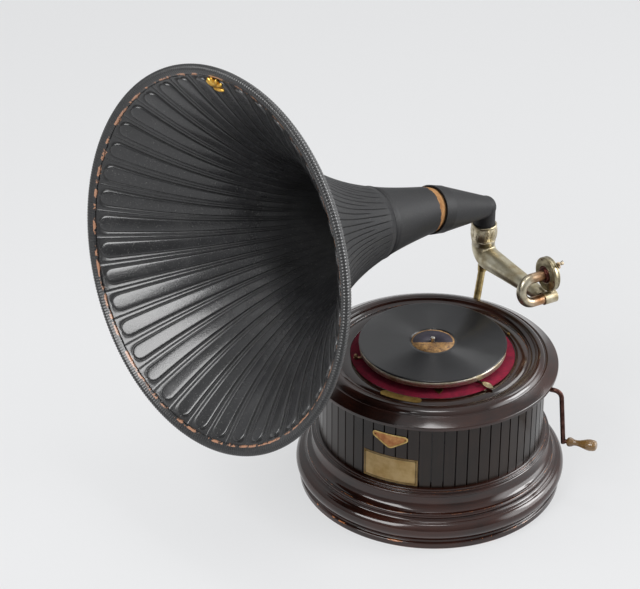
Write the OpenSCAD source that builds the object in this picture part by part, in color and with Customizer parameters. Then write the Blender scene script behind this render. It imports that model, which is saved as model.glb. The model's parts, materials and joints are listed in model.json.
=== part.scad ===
// Table gramophone: round slatted case, fluted horn, swinging tone arm and spring motor.
// Frame: Z up, origin under the turntable axis on the base, front towards -Y, crank towards +X.

/* [Case] */
// diameter of the torus moulding of the base
base_d = 463; // [455:1:470]
// diameter across the faces of the slatted wall
wall_d = 384; // [376:1:388]
// diameter of the outer edge of the top moulding
top_d = 426; // [420:1:430]
// height of the motor board's upper face above the table
case_h = 243; // [238:1:250]
// number of slats round the wall
slat_count = 60; // [54:2:66]
// width of the dark gap between two slats
slat_gap = 1.6; // [1:0.1:2.4]

/* [Turntable] */
// diameter of the record
record_d = 250; // [244:1:252]
// height of the record's upper face above the motor board
record_rise = 23; // [22:0.5:26]
// diameter of the spindle where the record sits on it
spindle_d = 7.2; // [6:0.1:8]
// height of the spindle's free end above the record
spindle_rise = 8; // [6:0.5:8.5]

/* [Tone arm and bracket] */
// distance of the bracket's bar behind the edge of the top moulding
bar_pass = 12.3; // [11:0.1:16]
// height of the arm's axis above the record
arm_rise = 40; // [38:0.5:44]
// length of the arm from its pivot axis to the ferrule's axis
arm_len = 180; // [174:0.5:188]
// angle of the arm from the front towards the crank
arm_az = 56.2; // [50:0.2:62]
// distance between the two limbs of the gooseneck
neck_gap = 43; // [40:0.5:46]
// lean of the gooseneck towards the pivot when it is thrown back
neck_lean = 9; // [6:0.5:16]
// turn of the ferrule's axis away from square with the arm
neck_turn = 4; // [0:0.5:12]
// diameter of the soundbox
soundbox_d = 60; // [56:0.5:62]
// outer diameter of the horn collar
collar_d = 46.5; // [45:0.5:49]

/* [Horn] */
// diameter of the horn's mouth
mouth_d = 618; // [580:1:630]
// length of the bell and neck along their axis
horn_len = 487; // [470:1:500]
// outer diameter of the neck at its joint with the elbow
joint_d = 80; // [76:0.5:84]
// height of the elbow's corner above the collar's upper edge
elbow_up = 39; // [34:0.5:44]
// turn of the horn from the front, away from the crank
horn_turn = 24.5; // [10:0.5:40]
// rise of the elbow's tapered limb
elbow_rise = 18.1; // [16:0.1:20]
// rise of the bell's axis
bell_rise = 9.9; // [8:0.1:12]
// length of the elbow's tapered limb from its corner to the joint
elbow_len = 151; // [144:1:158]
// number of raised tongues pressed round the bell
flute_count = 39; // [36:1:42]
// height of a tongue at the mouth
flute_rise = 3; // [2:0.1:4]

/* [Crank] */
// throw of the crank from its shaft to its grip
crank_throw = 97; // [85:1:100]
// diameter of the crank's rod
rod_d = 8; // [7:0.1:8.6]
// length of the wooden grip
grip_len = 51; // [44:1:60]
// outward splay of the crank's arm
crank_splay = 5; // [2:0.5:7]

/* [Motor] */
// gear module of the motor's train
gear_m = 1; // [0.96:0.01:1.02]
// diameter of the spring barrel's drum
barrel_d = 88; // [80:1:90]

/* [Hidden] */
$fn = 96;
fit = 0.05;
slip = 0.3;
tiny = 0.01;

// case levels and radii
base_r = base_d/2;
lip_r = base_r - 4.5;
wall_r = wall_d/2;
top_r = top_d/2;
slat_t = 6;
shell_flat = wall_r - slat_t;
shell_bore = shell_flat - 8;
lip_h = 12;
torus_z = 28;
wall_z0 = 101;
top_under = case_h - 16;
board_t = 12;
board_r = top_r - 48;
board_under = case_h - board_t;
ledge_r = board_r - 13;
shell_z0 = wall_z0 - 20;
bottom_seat = 10;
bottom_r = base_r - 34;
recess = 2;
velvet_t = 1.6;
velvet_r = board_r - 26;
velvet_top = case_h - recess + velvet_t;

// turntable levels
record_top = case_h + record_rise;
record_t = 2.2;
felt_t = 0.9;
platter_top = record_top - record_t - felt_t;
platter_r = record_d/2 - 1;
platter_rim_h = 10.8;
platter_web = 3;
hub_r = 14;
spindle_r = spindle_d/2;
shaft_r = 5;
seat_relief = 0.5;
pin_gap = 0.2;
label_r = record_d*0.146;
label_t = 0.15;
tip_top = record_top + spindle_rise;

// motor levels
plate_t = 5;
plate_top = board_under;
plate_under = plate_top - plate_t;
motor_h = 88;
foot_top = plate_under - motor_h;
foot_t = 4;
drum_up = 14;
drum_z0 = foot_top + drum_up;
drum_h = 36;
motor_x0 = -62;
motor_y0 = -86;
motor_w = 150;
motor_d = 160;
gear_t = 5;
low_gear_z = foot_top + 5;
high_gear_z = plate_under - 23;
pillar_r = 4;
arbor_r = 5;
thin_r = 3;

// gear train: tooth counts and centres
barrel_teeth = 96;
small_teeth = 12;
big_teeth = 72;
stage_low = gear_m*(big_teeth + small_teeth)/2;
stage_high = gear_m*(barrel_teeth + small_teeth)/2;
crank_y = 5;
barrel_x = 72;
barrel_at = [barrel_x, crank_y];
barrel_off = norm(barrel_at);
barrel_dir = atan2(crank_y, barrel_x);
inter_along = (pow(stage_low, 2) - pow(stage_high, 2) + pow(barrel_off, 2))/(2*barrel_off);
inter_side = -sqrt(pow(stage_low, 2) - pow(inter_along, 2));
inter_at = [inter_along*cos(barrel_dir) - inter_side*sin(barrel_dir),
            inter_along*sin(barrel_dir) + inter_side*cos(barrel_dir)];
gov_at = [-stage_low, 0];
pillar_in = 12;
pillars = [for (x = [motor_x0 + pillar_in, motor_x0 + motor_w - 2*pillar_in],
                y = [motor_y0 + pillar_in, motor_y0 + motor_d - pillar_in]) [x, y]];

// crank levels
rod_r = rod_d/2;
shaft_z = top_under - 7;
bend_x = top_r + 16;
bend_r = 13;
bend_tan = bend_r*tan(45 - crank_splay/2);
pinion_teeth = 8;
wind_m = 2;
pinion_r = wind_m*pinion_teeth/2;
wind_teeth = 30;
wind_r = wind_m*wind_teeth/2;
pin_r = 1.1;
pin_top = shaft_z - pinion_r + 0.9;
wind_disc_z = pin_top - 9;
wind_disc_t = 3;
pinion_x = barrel_x + wind_r;
pinion_w = 8;
grip_pin_r = 2.5;
grip_r = 10;

// bracket and arm
bracket_r = 6.5;
lug_r = 8;
stud_r = 3;
arm_h = record_top + arm_rise;
lug_top = arm_h - 22.5;
lug_z = lug_top - 6;
rod_end_z = lug_z - 2;
foot_y = wall_r + 5;
foot_up = 67.5;
rod_start_z = wall_z0 + foot_up;
pass_z = top_under + 4;
pass_y = top_r + bar_pass;
pivot_y = foot_y + (pass_y - foot_y)*(rod_end_z - rod_start_z)/(pass_z - rod_start_z);
foot_w = 44;
foot_below = 40;
foot_h = 68;
foot_holes = [for (x = [-0.32, 0.32], z = [0.12, 0.88]) [foot_w*x, rod_start_z - foot_below + foot_h*z]];
bow_r = 36;
bow_t = 6;
bow_z = lug_z - 3 + bow_r;
tube_r = 20.5;
tube_end_r = 12.5;
tube_wall = 1.5;
arm_bend = 22;
collar_r = collar_d/2;
collar_z0 = arm_h + arm_bend;
collar_h = 33;
collar_top = collar_z0 + collar_h;
plug_r = 19;
socket_r = plug_r + fit;
flange_z = collar_z0 + 14;
flange_t = 2;
ferrule_r = 11;
limb_r = 8.8;
limb_bore = limb_r - 1.3;
ferrule_x0 = -6;
ferrule_x1 = 18.5;
neck_run = 27;
sound_r = soundbox_d/2;
sound_x0 = -1;
sound_x1 = 12;
needle_turn = 46;
needle_reach = sound_r + 20;

// horn
elbow_r = plug_r + 1;
elbow_h = collar_top + elbow_up;
joint_r = joint_d/2;
sleeve_r = joint_r + 2.4;
sleeve_bore = joint_r - 0.2;
sleeve_len = 26;
sleeve_taper = 1.6;
socket_len = 14;
joint_open = 6;
tenon_len = 12;
horn_wall = 4;
neck_len = 136;
rim_back = 13;
rim_step = 1.2;
rim_roll = 6;
rim_skirt = 13;
mouth_r = mouth_d/2;
neck_slope = 0.13;
flare_pow = 2.8;
flare_gain = mouth_r - joint_r - neck_slope*horn_len;
function flare(s) = joint_r + neck_slope*s + flare_gain*pow(s/horn_len, flare_pow);
function bore(s) = flare(s) - horn_wall*(1 + 0.5*pow(s/horn_len, 2));
bell_cuts = [neck_len, neck_len + 125, neck_len + 240, horn_len - rim_back];
bell_steps = 6;
flute_share = 0.62;
flute_end = 9;
flute_in = 0.4;
function rise(s) = flute_rise*bore(s)/mouth_r;
neck_steps = 6;
function steps(a, b, n) = [for (i = [0:n]) a + (b - a)*i/n];

// section helpers
function arc_pts(c, r, a0, a1, n) =
    [for (i = [0:n]) [c[0] + r*cos(a0 + (a1 - a0)*i/n), c[1] + r*sin(a0 + (a1 - a0)*i/n)]];
function gear_pts(teeth, m) =
    let (p = 360/teeth, root = m*(teeth/2 - 1.15), tip = m*(teeth/2 + 0.72))
    [for (i = [0:teeth - 1]) for (k = [[-0.27, root], [-0.095, tip], [0.095, tip], [0.27, root]])
        [k[1]*cos(p*(i + k[0])), k[1]*sin(p*(i + k[0]))]];
function aim(a, b) = atan2(b[1] - a[1], b[0] - a[0]);

// a toothed disc with a tooth at angle ang
module wheel(teeth, m, h, ang) {
    rotate([0, 0, ang])
        linear_extrude(h)
            polygon(gear_pts(teeth, m));
}

// a toothed disc with a gap at angle ang
module wheel_gap(teeth, m, h, ang) {
    wheel(teeth, m, h, ang + 180/teeth);
}

// a straight round bar between two points of the plane X = 0
module bar_yz(p, q, r) {
    translate([0, p[0], p[1]])
        rotate([-atan2(q[0] - p[0], q[1] - p[1]), 0, 0])
            cylinder(r = r, h = norm(q - p));
}

module at(p, z) {
    translate([p[0], p[1], z])
        children();
}

// local frame of the tone arm: pivot axis on Z, arm towards -Y
module arm_frame() {
    translate([0, pivot_y, 0])
        rotate([0, 0, arm_az])
            children();
}

// frame of the ferrule: its axis on X
module ferrule_frame() {
    arm_frame()
        translate([0, -arm_len, arm_h])
            rotate([0, 0, -neck_turn])
                children();
}

// local frame of the gooseneck: ferrule axis on X, limbs apart along Z
module neck_frame() {
    ferrule_frame()
        rotate([-neck_lean, 0, 0])
            children();
}

// frame with Z along the elbow's tapered limb, from the elbow's corner
module limb_frame() {
    translate([0, pivot_y, elbow_h])
        rotate([90 - elbow_rise, 0, -horn_turn])
            children();
}

// frame with Z along the bell, from the joint
module bell_frame() {
    limb_frame()
        translate([0, 0, elbow_len])
            rotate([elbow_rise - bell_rise, 0, 0])
                children();
}

// crank frame: shaft along X
module crank_frame() {
    translate([0, crank_y, shaft_z])
        children();
}

// ring of the given width on the wall's face, seen from the front
module wall_patch(t) {
    intersection() {
        difference() {
            cylinder(r = wall_r + 0.25 + t, h = case_h);
            translate([0, 0, -1])
                cylinder(r = wall_r + 0.25, h = case_h + 2);
        }
        rotate([90, 0, 0])
            linear_extrude(wall_r + 10)
                children();
    }
}

// stepped and swelling foot moulding of the case
module base_moulding() {
    color([0.13, 0.08, 0.07])
        rotate_extrude()
            polygon(concat(
                [[bottom_r, 0], [lip_r - 1, 0], [lip_r, 1.5], [lip_r, lip_h - 1.5], [lip_r - 1.5, lip_h],
                 [lip_r - 3, lip_h + 1], [lip_r - 3, lip_h + 3]],
                arc_pts([base_r - 14, torus_z], 14, -60, 62, 10),
                [[base_r - 12, torus_z + 13], [base_r - 16, torus_z + 13.5], [base_r - 19, torus_z + 15],
                 [base_r - 19, torus_z + 20], [base_r - 18, torus_z + 22]],
                arc_pts([base_r - 30, torus_z + 26], 12, -20, 55, 7),
                arc_pts([wall_r + 13, wall_z0 - 17], 11, 250, 180, 6),
                [[wall_r + 2, wall_z0 - 15]],
                arc_pts([wall_r + 4, wall_z0 - 12.5], 2.6, -80, 80, 4),
                [[wall_r + 2.5, wall_z0 - 9.5]],
                arc_pts([wall_r + 1.5, wall_z0 - 4.6], 4, -75, 80, 5),
                [[wall_r, wall_z0], [shell_flat + 0.9, wall_z0], [shell_flat + 0.9, shell_z0],
                 [shell_bore, shell_z0], [shell_bore, bottom_seat], [bottom_r, bottom_seat]]));
}

// round board that closes the case from below
module bottom_board() {
    color([0.35, 0.24, 0.15])
        translate([0, 0, bottom_seat - 10])
            cylinder(r = bottom_r - slip, h = 10);
}

// drum with one flat for each slat
module case_shell() {
    color([0.16, 0.10, 0.08])
        difference() {
            translate([0, 0, shell_z0])
                linear_extrude(top_under - shell_z0)
                    polygon([for (i = [0:slat_count - 1])
                        shell_flat/cos(180/slat_count)*[cos(360/slat_count*(i + 0.5) - 90),
                                                        sin(360/slat_count*(i + 0.5) - 90)]]);
            translate([0, 0, shell_z0 - 1])
                cylinder(r = shell_bore, h = case_h);
            crank_frame()
                rotate([0, 90, 0])
                    cylinder(r = rod_r + 2, h = base_r);
        }
}

// upright slats, one on each flat of the drum
module case_slats() {
    slat_in = shell_flat*tan(180/slat_count) - slat_gap/2;
    slat_out = wall_r*tan(180/slat_count) - slat_gap/2;
    color([0.17, 0.15, 0.15])
        difference() {
            for (i = [0:slat_count - 1])
                rotate([0, 0, 360/slat_count*i - 90])
                    translate([0, 0, wall_z0])
                        linear_extrude(top_under - wall_z0)
                            polygon([[shell_flat, -slat_in], [wall_r, -slat_out],
                                     [wall_r, slat_out], [shell_flat, slat_in]]);
            crank_frame()
                rotate([0, 90, 0])
                    cylinder(r = rod_r + 2, h = base_r);
        }
}

// stepped ring that carries the motor board and overhangs the wall
module top_moulding() {
    color([0.14, 0.09, 0.08])
        rotate_extrude()
            polygon(concat(
                [[ledge_r, top_under], [top_r - 5, top_under]],
                arc_pts([top_r - 4, top_under + 4], 4, -80, 85, 8),
                [[top_r - 12, top_under + 7.2], [top_r - 26, top_under + 6.6]],
                arc_pts([top_r - 32, top_under + 6.4], 5, 5, 85, 5),
                [[top_r - 36, top_under + 11]],
                arc_pts([top_r - 43, top_under + 10.2], 5.6, 10, 85, 5),
                [[top_r - 46, case_h], [board_r, case_h], [board_r, board_under], [ledge_r, board_under]]));
}

// lid board with the shallow round recess for the velvet
module motor_board() {
    color([0.27, 0.24, 0.22])
        difference() {
            translate([0, 0, board_under])
                cylinder(r = board_r - slip, h = board_t);
            translate([0, 0, case_h - recess])
                cylinder(r = velvet_r + 0.2, h = recess + 1);
            translate([0, 0, board_under - 1])
                cylinder(r = shaft_r + 4, h = board_t + 2);
            brake_at()
                translate([0, 0, board_under - 1])
                    cylinder(r = stud_r + fit, h = board_t + 2);
            speed_at()
                translate([0, 0, board_under - 1])
                    cylinder(r = stud_r + fit, h = board_t + 2);
            peg_at()
                translate([0, 0, board_under + 4])
                    cylinder(r = 1.5, h = board_t);
        }
}

brake_az = -59;
brake_pivot = velvet_r - 43;
speed_az = 62;
speed_pivot = velvet_r - 43;
pointer_az = 26;
peg_az = 137;

module brake_at() {
    rotate([0, 0, brake_az])
        translate([0, -brake_pivot, 0])
            children();
}

module speed_at() {
    rotate([0, 0, speed_az])
        translate([0, -speed_pivot, 0])
            children();
}

module peg_at() {
    rotate([0, 0, peg_az])
        translate([0, -velvet_r - 6, 0])
            children();
}

// crimson cloth disc glued into the recess
module velvet_disc() {
    color([0.42, 0.03, 0.13])
        difference() {
            translate([0, 0, case_h - recess])
                cylinder(r = velvet_r, h = velvet_t);
            translate([0, 0, case_h - recess - 1])
                cylinder(r = shaft_r + 6, h = velvet_t + 2);
            brake_at()
                translate([0, 0, case_h - recess - 1])
                    cylinder(r = stud_r + 1, h = velvet_t + 2);
            speed_at()
                translate([0, 0, case_h - recess - 1])
                    cylinder(r = stud_r + 1, h = velvet_t + 2);
        }
}

// bare curved plate with round ends on the front of the board
module top_plate() {
    plate_r = (velvet_r + board_r)/2 - 3;
    plate_half = 7.5;
    plate_ang = 11;
    color([0.55, 0.46, 0.28])
        translate([0, 0, case_h])
            linear_extrude(0.8)
                polygon(concat(
                    arc_pts([0, 0], plate_r + plate_half, -90 - plate_ang, -90 + plate_ang, 12),
                    arc_pts(plate_r*[cos(-90 + plate_ang), sin(-90 + plate_ang)], plate_half,
                            -75 + plate_ang, 75 + plate_ang, 6),
                    arc_pts([0, 0], plate_r - plate_half, -90 + plate_ang, -90 - plate_ang, 12),
                    arc_pts(plate_r*[cos(-90 - plate_ang), sin(-90 - plate_ang)], plate_half,
                            105 - plate_ang, 255 - plate_ang, 6)));
}

fan_z = top_under - 45;
fan_half = 31;
fan_low = 15;

// outline of the fan badge: two ears and a round point
module fan_outline() {
    polygon(concat(
        arc_pts([fan_half - 5, 8], 5, -60, 110, 6),
        [[fan_half*0.55, 10.5], [-fan_half*0.55, 10.5]],
        arc_pts([-fan_half + 5, 8], 5, 70, 240, 6),
        [[-fan_half*0.62, 0]],
        arc_pts([0, 6 - fan_low], 6, 215, 325, 6),
        [[fan_half*0.62, 0]]));
}

// bare brass badge bent round the wall
module fan_badge() {
    color([0.58, 0.42, 0.24])
        wall_patch(0.9)
            translate([0, fan_z])
                fan_outline();
}

side_half = 48;
side_z0 = wall_z0 + 1.5;
side_gap = 12.5;
side_h = fan_z - fan_low - side_gap - side_z0;

// bare brass sheet bent round the wall
module side_plate() {
    color([0.56, 0.44, 0.22])
        wall_patch(0.8)
            translate([-side_half, side_z0])
                square([2*side_half, side_h]);
}

// round heads of the pins that hold the badge and the sheet
module plate_pins() {
    pin_x = asin((side_half - 4)/wall_r);
    fan_x = asin((fan_half - 5)/wall_r);
    color([0.60, 0.48, 0.26]) {
        for (a = [-pin_x, pin_x], z = [side_z0 + 4, side_z0 + side_h - 4])
            rotate([0, 0, a])
                translate([0, -wall_r - 0.25 - 0.8, z])
                    rotate([90, 0, 0])
                        cylinder(r = 1.3, h = 0.7);
        for (a = [-fan_x, fan_x])
            rotate([0, 0, a])
                translate([0, -wall_r - 0.25 - 0.9, fan_z + 8])
                    rotate([90, 0, 0])
                        cylinder(r = 1.4, h = 0.7);
    }
}

// bushing of the crank in the wall
module crank_escutcheon() {
    color([0.30, 0.26, 0.22])
        crank_frame()
            rotate([0, 90, 0])
                difference() {
                    union() {
                        translate([0, 0, shell_bore + 1])
                            cylinder(r = rod_r + 1.7, h = slat_t + 8);
                        translate([0, 0, wall_r + 0.3])
                            cylinder(r = rod_r + 2.6, h = 2.2);
                    }
                    cylinder(r = rod_r + fit, h = base_r);
                }
}

// inner hanger of the crank's shaft under the board
module crank_bearing() {
    color([0.25, 0.25, 0.26])
        difference() {
            translate([pinion_x + pinion_w/2 + 6, crank_y - 12, shaft_z - rod_r - 5])
                cube([10, 24, board_under - shaft_z + rod_r + 5]);
            crank_frame()
                rotate([0, 90, 0])
                    cylinder(r = rod_r + fit, h = base_r);
        }
}

// cast foot of the bracket on the back of the wall
module bracket_foot() {
    color([0.42, 0.37, 0.27])
        difference() {
            intersection() {
                difference() {
                    cylinder(r = wall_r + 7, h = case_h);
                    translate([0, 0, -1])
                        cylinder(r = wall_r + 0.25, h = case_h + 2);
                }
                translate([-foot_w/2, 0, rod_start_z - foot_below])
                    cube([foot_w, base_r, foot_h]);
            }
            bar_yz([foot_y, rod_start_z], [pivot_y, rod_end_z], bracket_r + 0.02);
            for (p = foot_holes)
                translate([p[0], 0, p[1]])
                    rotate([-90, 0, 0])
                        cylinder(r = 2.6, h = base_r);
        }
}

// leaning bar with the lug under the arm and the back limb up to the collar
module bracket_arm() {
    color([0.50, 0.44, 0.33])
        difference() {
            union() {
                bar_yz([foot_y, rod_start_z], [pivot_y, rod_end_z], bracket_r);
                translate([0, pivot_y, rod_end_z - 3])
                    cylinder(r = lug_r, h = lug_top - rod_end_z + 3);
                translate([0, pivot_y, lug_top - 1])
                    cylinder(r = stud_r, h = 13);
                translate([0, pivot_y + 5, bow_z])
                    rotate([90, 0, 90])
                        rotate([0, 0, -90])
                            rotate_extrude(angle = 180)
                                translate([bow_r, 0])
                                    circle(r = bow_t);
            }
            translate([0, pivot_y, collar_z0 - 2])
                cylinder(r = collar_r + 0.02, h = collar_h + 4);
            cylinder(r = wall_r + 0.4, h = case_h);
        }
}

// slotted round heads of the bracket's screws
module bracket_screws() {
    color([0.45, 0.42, 0.38])
        for (p = foot_holes)
            translate([p[0], 0, p[1]])
                rotate([-90, 0, 0]) {
                    translate([0, 0, wall_r + 0.3])
                        cylinder(r = 2.5, h = 6);
                    difference() {
                        translate([0, 0, wall_r + 7.2])
                            cylinder(r = 4.5, h = 2);
                        translate([-5, -0.5, wall_r + 8.2])
                            cube([10, 1, 2]);
                    }
                }
}

// socket ring that holds the horn's elbow above and the arm below
module horn_collar() {
    color([0.46, 0.43, 0.33])
        translate([0, pivot_y, 0])
            rotate_extrude()
                polygon(concat(
                    [[socket_r, collar_z0], [collar_r - 2.6, collar_z0], [collar_r - 1.8, collar_z0 + 1.5]],
                    arc_pts([collar_r - 40, collar_z0 + collar_h*0.5], 40, -17, 17, 8),
                    [[collar_r - 1, collar_top - 3], [collar_r - 0.8, collar_top - 1],
                     [collar_r - 1.6, collar_top], [socket_r, collar_top],
                     [socket_r, flange_z + flange_t], [socket_r - 3.5, flange_z + flange_t],
                     [socket_r - 3.5, flange_z], [socket_r, flange_z]]));
}

// plate under the board with the upper bearings
module motor_top_plate() {
    color([0.22, 0.22, 0.23])
        difference() {
            translate([motor_x0, motor_y0, plate_under])
                cube([motor_w, motor_d, plate_t]);
            translate([0, 0, plate_under - 1])
                cylinder(r = shaft_r + fit, h = plate_t + 2);
            at(barrel_at, plate_under - 1)
                cylinder(r = arbor_r + fit, h = plate_t + 2);
            at(inter_at, plate_under - 1)
                cylinder(r = thin_r + fit, h = plate_t + 2);
            at(gov_at, plate_under - 1)
                cylinder(r = thin_r + fit, h = plate_t + 2);
        }
}

// plate with the lower bearings
module motor_bottom_plate() {
    color([0.22, 0.22, 0.23])
        difference() {
            translate([motor_x0, motor_y0, foot_top - foot_t])
                cube([motor_w, motor_d, foot_t]);
            translate([0, 0, foot_top - foot_t + 1])
                cylinder(r = shaft_r + fit, h = foot_t);
            at(barrel_at, foot_top - foot_t + 1)
                cylinder(r = arbor_r + fit, h = foot_t);
            at(inter_at, foot_top - foot_t + 1)
                cylinder(r = thin_r + fit, h = foot_t);
            at(gov_at, foot_top - foot_t + 1)
                cylinder(r = thin_r + fit, h = foot_t);
        }
}

// posts that hold the two plates apart
module motor_pillars() {
    color([0.55, 0.48, 0.30])
        for (p = pillars)
            at(p, foot_top)
                cylinder(r = pillar_r, h = plate_under - foot_top);
}

// small triangular pointer lying on the velvet
module speed_pointer() {
    color([0.55, 0.49, 0.33])
        rotate([0, 0, pointer_az])
            translate([0, -velvet_r + 13, velvet_top])
                linear_extrude(1.2)
                    polygon([[0, 0], [7, 10], [7, 14], [-7, 14], [-7, 10]]);
}

// small brass peg at the edge of the velvet
module board_peg() {
    color([0.60, 0.58, 0.32])
        peg_at() {
            translate([0, 0, board_under + 4.1])
                cylinder(r = 1.45, h = board_t - 4.1);
            translate([0, 0, case_h])
                cylinder(r = 2.6, h = 2);
        }
}

// pressed turntable with its turned-down rim and hub
module platter() {
    color([0.62, 0.57, 0.48])
        translate([0, 0, platter_top])
            rotate_extrude()
                polygon(concat(
                    [[spindle_r + 0.5 + fit, 0], [platter_r - 2, 0]],
                    arc_pts([platter_r - 2, -2], 2, 80, 0, 4),
                    [[platter_r, -platter_rim_h], [platter_r - 3, -platter_rim_h],
                     [platter_r - 4, -platter_web], [hub_r, -platter_web], [hub_r - 3, -14],
                     [spindle_r + 0.5 + fit, -14]]));
}

// turned spindle with the driving pinion at its foot
module spindle() {
    color([0.66, 0.64, 0.60]) {
        translate([0, 0, foot_top - foot_t + 1.2])
            cylinder(r = shaft_r, h = platter_top - 14 - foot_top + foot_t - 1.2);
        translate([0, 0, platter_top - 14 - tiny])
            cylinder(r = spindle_r + 0.5, h = 14 + tiny);
        translate([0, 0, platter_top - tiny])
            cylinder(r = spindle_r - seat_relief, h = record_t + felt_t + pin_gap + 2*tiny);
        translate([0, 0, record_top + pin_gap])
            cylinder(r = spindle_r, h = spindle_rise - pin_gap - 0.6);
        translate([0, 0, tip_top - 0.6 - tiny])
            cylinder(r1 = spindle_r - 0.02, r2 = spindle_r - 0.8, h = 0.6);
        translate([0, 0, low_gear_z])
            wheel_gap(small_teeth, gear_m, gear_t, aim([0, 0], inter_at));
    }
}

// governor wheel on the spindle
module spindle_wheel() {
    color([0.62, 0.50, 0.25])
        difference() {
            translate([0, 0, high_gear_z])
                wheel(big_teeth, gear_m, 4, aim([0, 0], gov_at));
            translate([0, 0, high_gear_z - 1])
                cylinder(r = shaft_r + 0.02, h = 6);
        }
}

// cloth disc between the platter and the record
module platter_felt() {
    color([0.10, 0.16, 0.12])
        difference() {
            translate([0, 0, platter_top])
                cylinder(r = platter_r - 3, h = felt_t);
            translate([0, 0, platter_top - 1])
                cylinder(r = spindle_r + 1, h = felt_t + 2);
        }
}

// shellac record with its raised edge and sunk middle
module record() {
    color([0.09, 0.09, 0.10])
        translate([0, 0, record_top])
            rotate_extrude()
                polygon([[spindle_r + fit, -record_t], [record_d/2 - 0.6, -record_t], [record_d/2, -record_t + 0.6],
                         [record_d/2, -0.5], [record_d/2 - 0.6, 0], [record_d/2 - 3, 0], [record_d/2 - 4, -0.15],
                         [label_r + 3, -0.15], [label_r + 2, 0], [label_r, 0], [label_r, -label_t],
                         [spindle_r + fit, -label_t]]);
}

// plain paper label let into the record
module record_label() {
    color([0.35, 0.27, 0.16])
        difference() {
            translate([0, 0, record_top - label_t])
                cylinder(r = label_r - 0.02, h = label_t);
            translate([0, 0, record_top - 1])
                cylinder(r = spindle_r + 0.3, h = 2);
        }
}

// drum of the mainspring with the great wheel on its top
module spring_barrel() {
    color([0.64, 0.53, 0.28])
        at(barrel_at, 0)
            difference() {
                union() {
                    translate([0, 0, drum_z0])
                        cylinder(r = barrel_d/2, h = drum_h);
                    translate([0, 0, drum_z0 + drum_h - tiny])
                        wheel(barrel_teeth, gear_m, gear_t, aim(barrel_at, inter_at));
                }
                translate([0, 0, drum_z0 + 3])
                    cylinder(r = barrel_d/2 - 3, h = drum_h - 6);
                translate([0, 0, drum_z0 - 1])
                    cylinder(r = arbor_r + fit, h = drum_h + gear_t + 2);
            }
}

coil_turns = 9;
coil_t = 1.2;
coil_r0 = 12;
coil_r1 = barrel_d/2 - 3.8;
coil_n = 26;
function coil_r(i) = coil_r0 + (coil_r1 - coil_r0)*i/(coil_turns*coil_n);

// flat spring wound up inside the drum
module mainspring() {
    color([0.32, 0.33, 0.36])
        at(barrel_at, drum_z0 + 3)
            linear_extrude(drum_h - 7)
                polygon(concat(
                    [for (i = [0:coil_turns*coil_n]) (coil_r(i) + coil_t/2)*[cos(360/coil_n*i), sin(360/coil_n*i)]],
                    [for (i = [coil_turns*coil_n:-1:0])
                        (coil_r(i) - coil_t/2)*[cos(360/coil_n*i), sin(360/coil_n*i)]]));
}

// upright arbor that winds the spring
module barrel_arbor() {
    color([0.58, 0.58, 0.58])
        at(barrel_at, foot_top - foot_t + 1.2)
            cylinder(r = arbor_r, h = plate_top - 0.5 - foot_top + foot_t - 1.2);
}

// pin wheel on the arbor, turned by the crank's pinion
module winding_wheel() {
    color([0.60, 0.50, 0.26])
        at(barrel_at, 0)
            difference() {
                union() {
                    translate([0, 0, wind_disc_z])
                        cylinder(r = wind_r + 2.6, h = wind_disc_t);
                    for (i = [0:wind_teeth - 1])
                        rotate([0, 0, 360/wind_teeth*(i + 0.5)])
                            translate([wind_r, 0, wind_disc_z + wind_disc_t - 0.5])
                                cylinder(r = pin_r, h = pin_top - wind_disc_z - wind_disc_t + 0.5);
                }
                translate([0, 0, wind_disc_z - 1])
                    cylinder(r = arbor_r + 0.02, h = wind_disc_t + 2);
            }
}

// arbor of the middle wheel with the pinion that the great wheel drives
module inter_arbor() {
    color([0.60, 0.60, 0.60])
        at(inter_at, 0) {
            translate([0, 0, foot_top - foot_t + 1.2])
                cylinder(r = thin_r, h = plate_top - 0.5 - foot_top + foot_t - 1.2);
            translate([0, 0, drum_z0 + drum_h - 1])
                wheel_gap(small_teeth, gear_m, gear_t + 2, aim(inter_at, barrel_at));
        }
}

// middle wheel that drives the spindle
module inter_wheel() {
    color([0.62, 0.50, 0.25])
        at(inter_at, 0)
            difference() {
                translate([0, 0, low_gear_z + 0.5])
                    wheel(big_teeth, gear_m, 4, aim(inter_at, [0, 0]));
                translate([0, 0, low_gear_z - 1])
                    cylinder(r = thin_r + 0.02, h = 8);
            }
}

gov_low = foot_top + 16;
gov_high = foot_top + 50;
weight_r = 14;
weight_ball = 4.5;

// upright governor shaft with its pinion and fixed head
module governor_shaft() {
    color([0.60, 0.60, 0.60])
        at(gov_at, 0) {
            translate([0, 0, foot_top - foot_t + 1.2])
                cylinder(r = thin_r, h = plate_top - 0.5 - foot_top + foot_t - 1.2);
            translate([0, 0, high_gear_z - 1])
                wheel_gap(small_teeth, gear_m, 6, aim(gov_at, [0, 0]));
            translate([0, 0, gov_high])
                cylinder(r = weight_r - 6, h = 4);
        }
}

// three round weights
module governor_weights() {
    color([0.58, 0.46, 0.24])
        at(gov_at, 0)
            for (i = [0:2])
                rotate([0, 0, 120*i + 60])
                    translate([weight_r, 0, (gov_low + gov_high)/2 + 2])
                        sphere(r = weight_ball);
}

// leaf springs that carry the weights between the head and the disc
module governor_springs() {
    mid = (gov_low + gov_high)/2 + 2;
    color([0.34, 0.35, 0.38])
        at(gov_at, 0)
            for (i = [0:2])
                rotate([0, 0, 120*i + 60])
                    translate([0, 3, 0])
                        rotate([90, 0, 0])
                            linear_extrude(6)
                                polygon([[weight_r - 7, gov_low + 4], [weight_r - 4.55, mid - 3],
                                         [weight_r - 4.55, mid + 3], [weight_r - 7, gov_high],
                                         [weight_r - 7.6, gov_high], [weight_r - 5.6, mid + 3],
                                         [weight_r - 5.6, mid - 3], [weight_r - 7.6, gov_low + 4]]);
}

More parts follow.
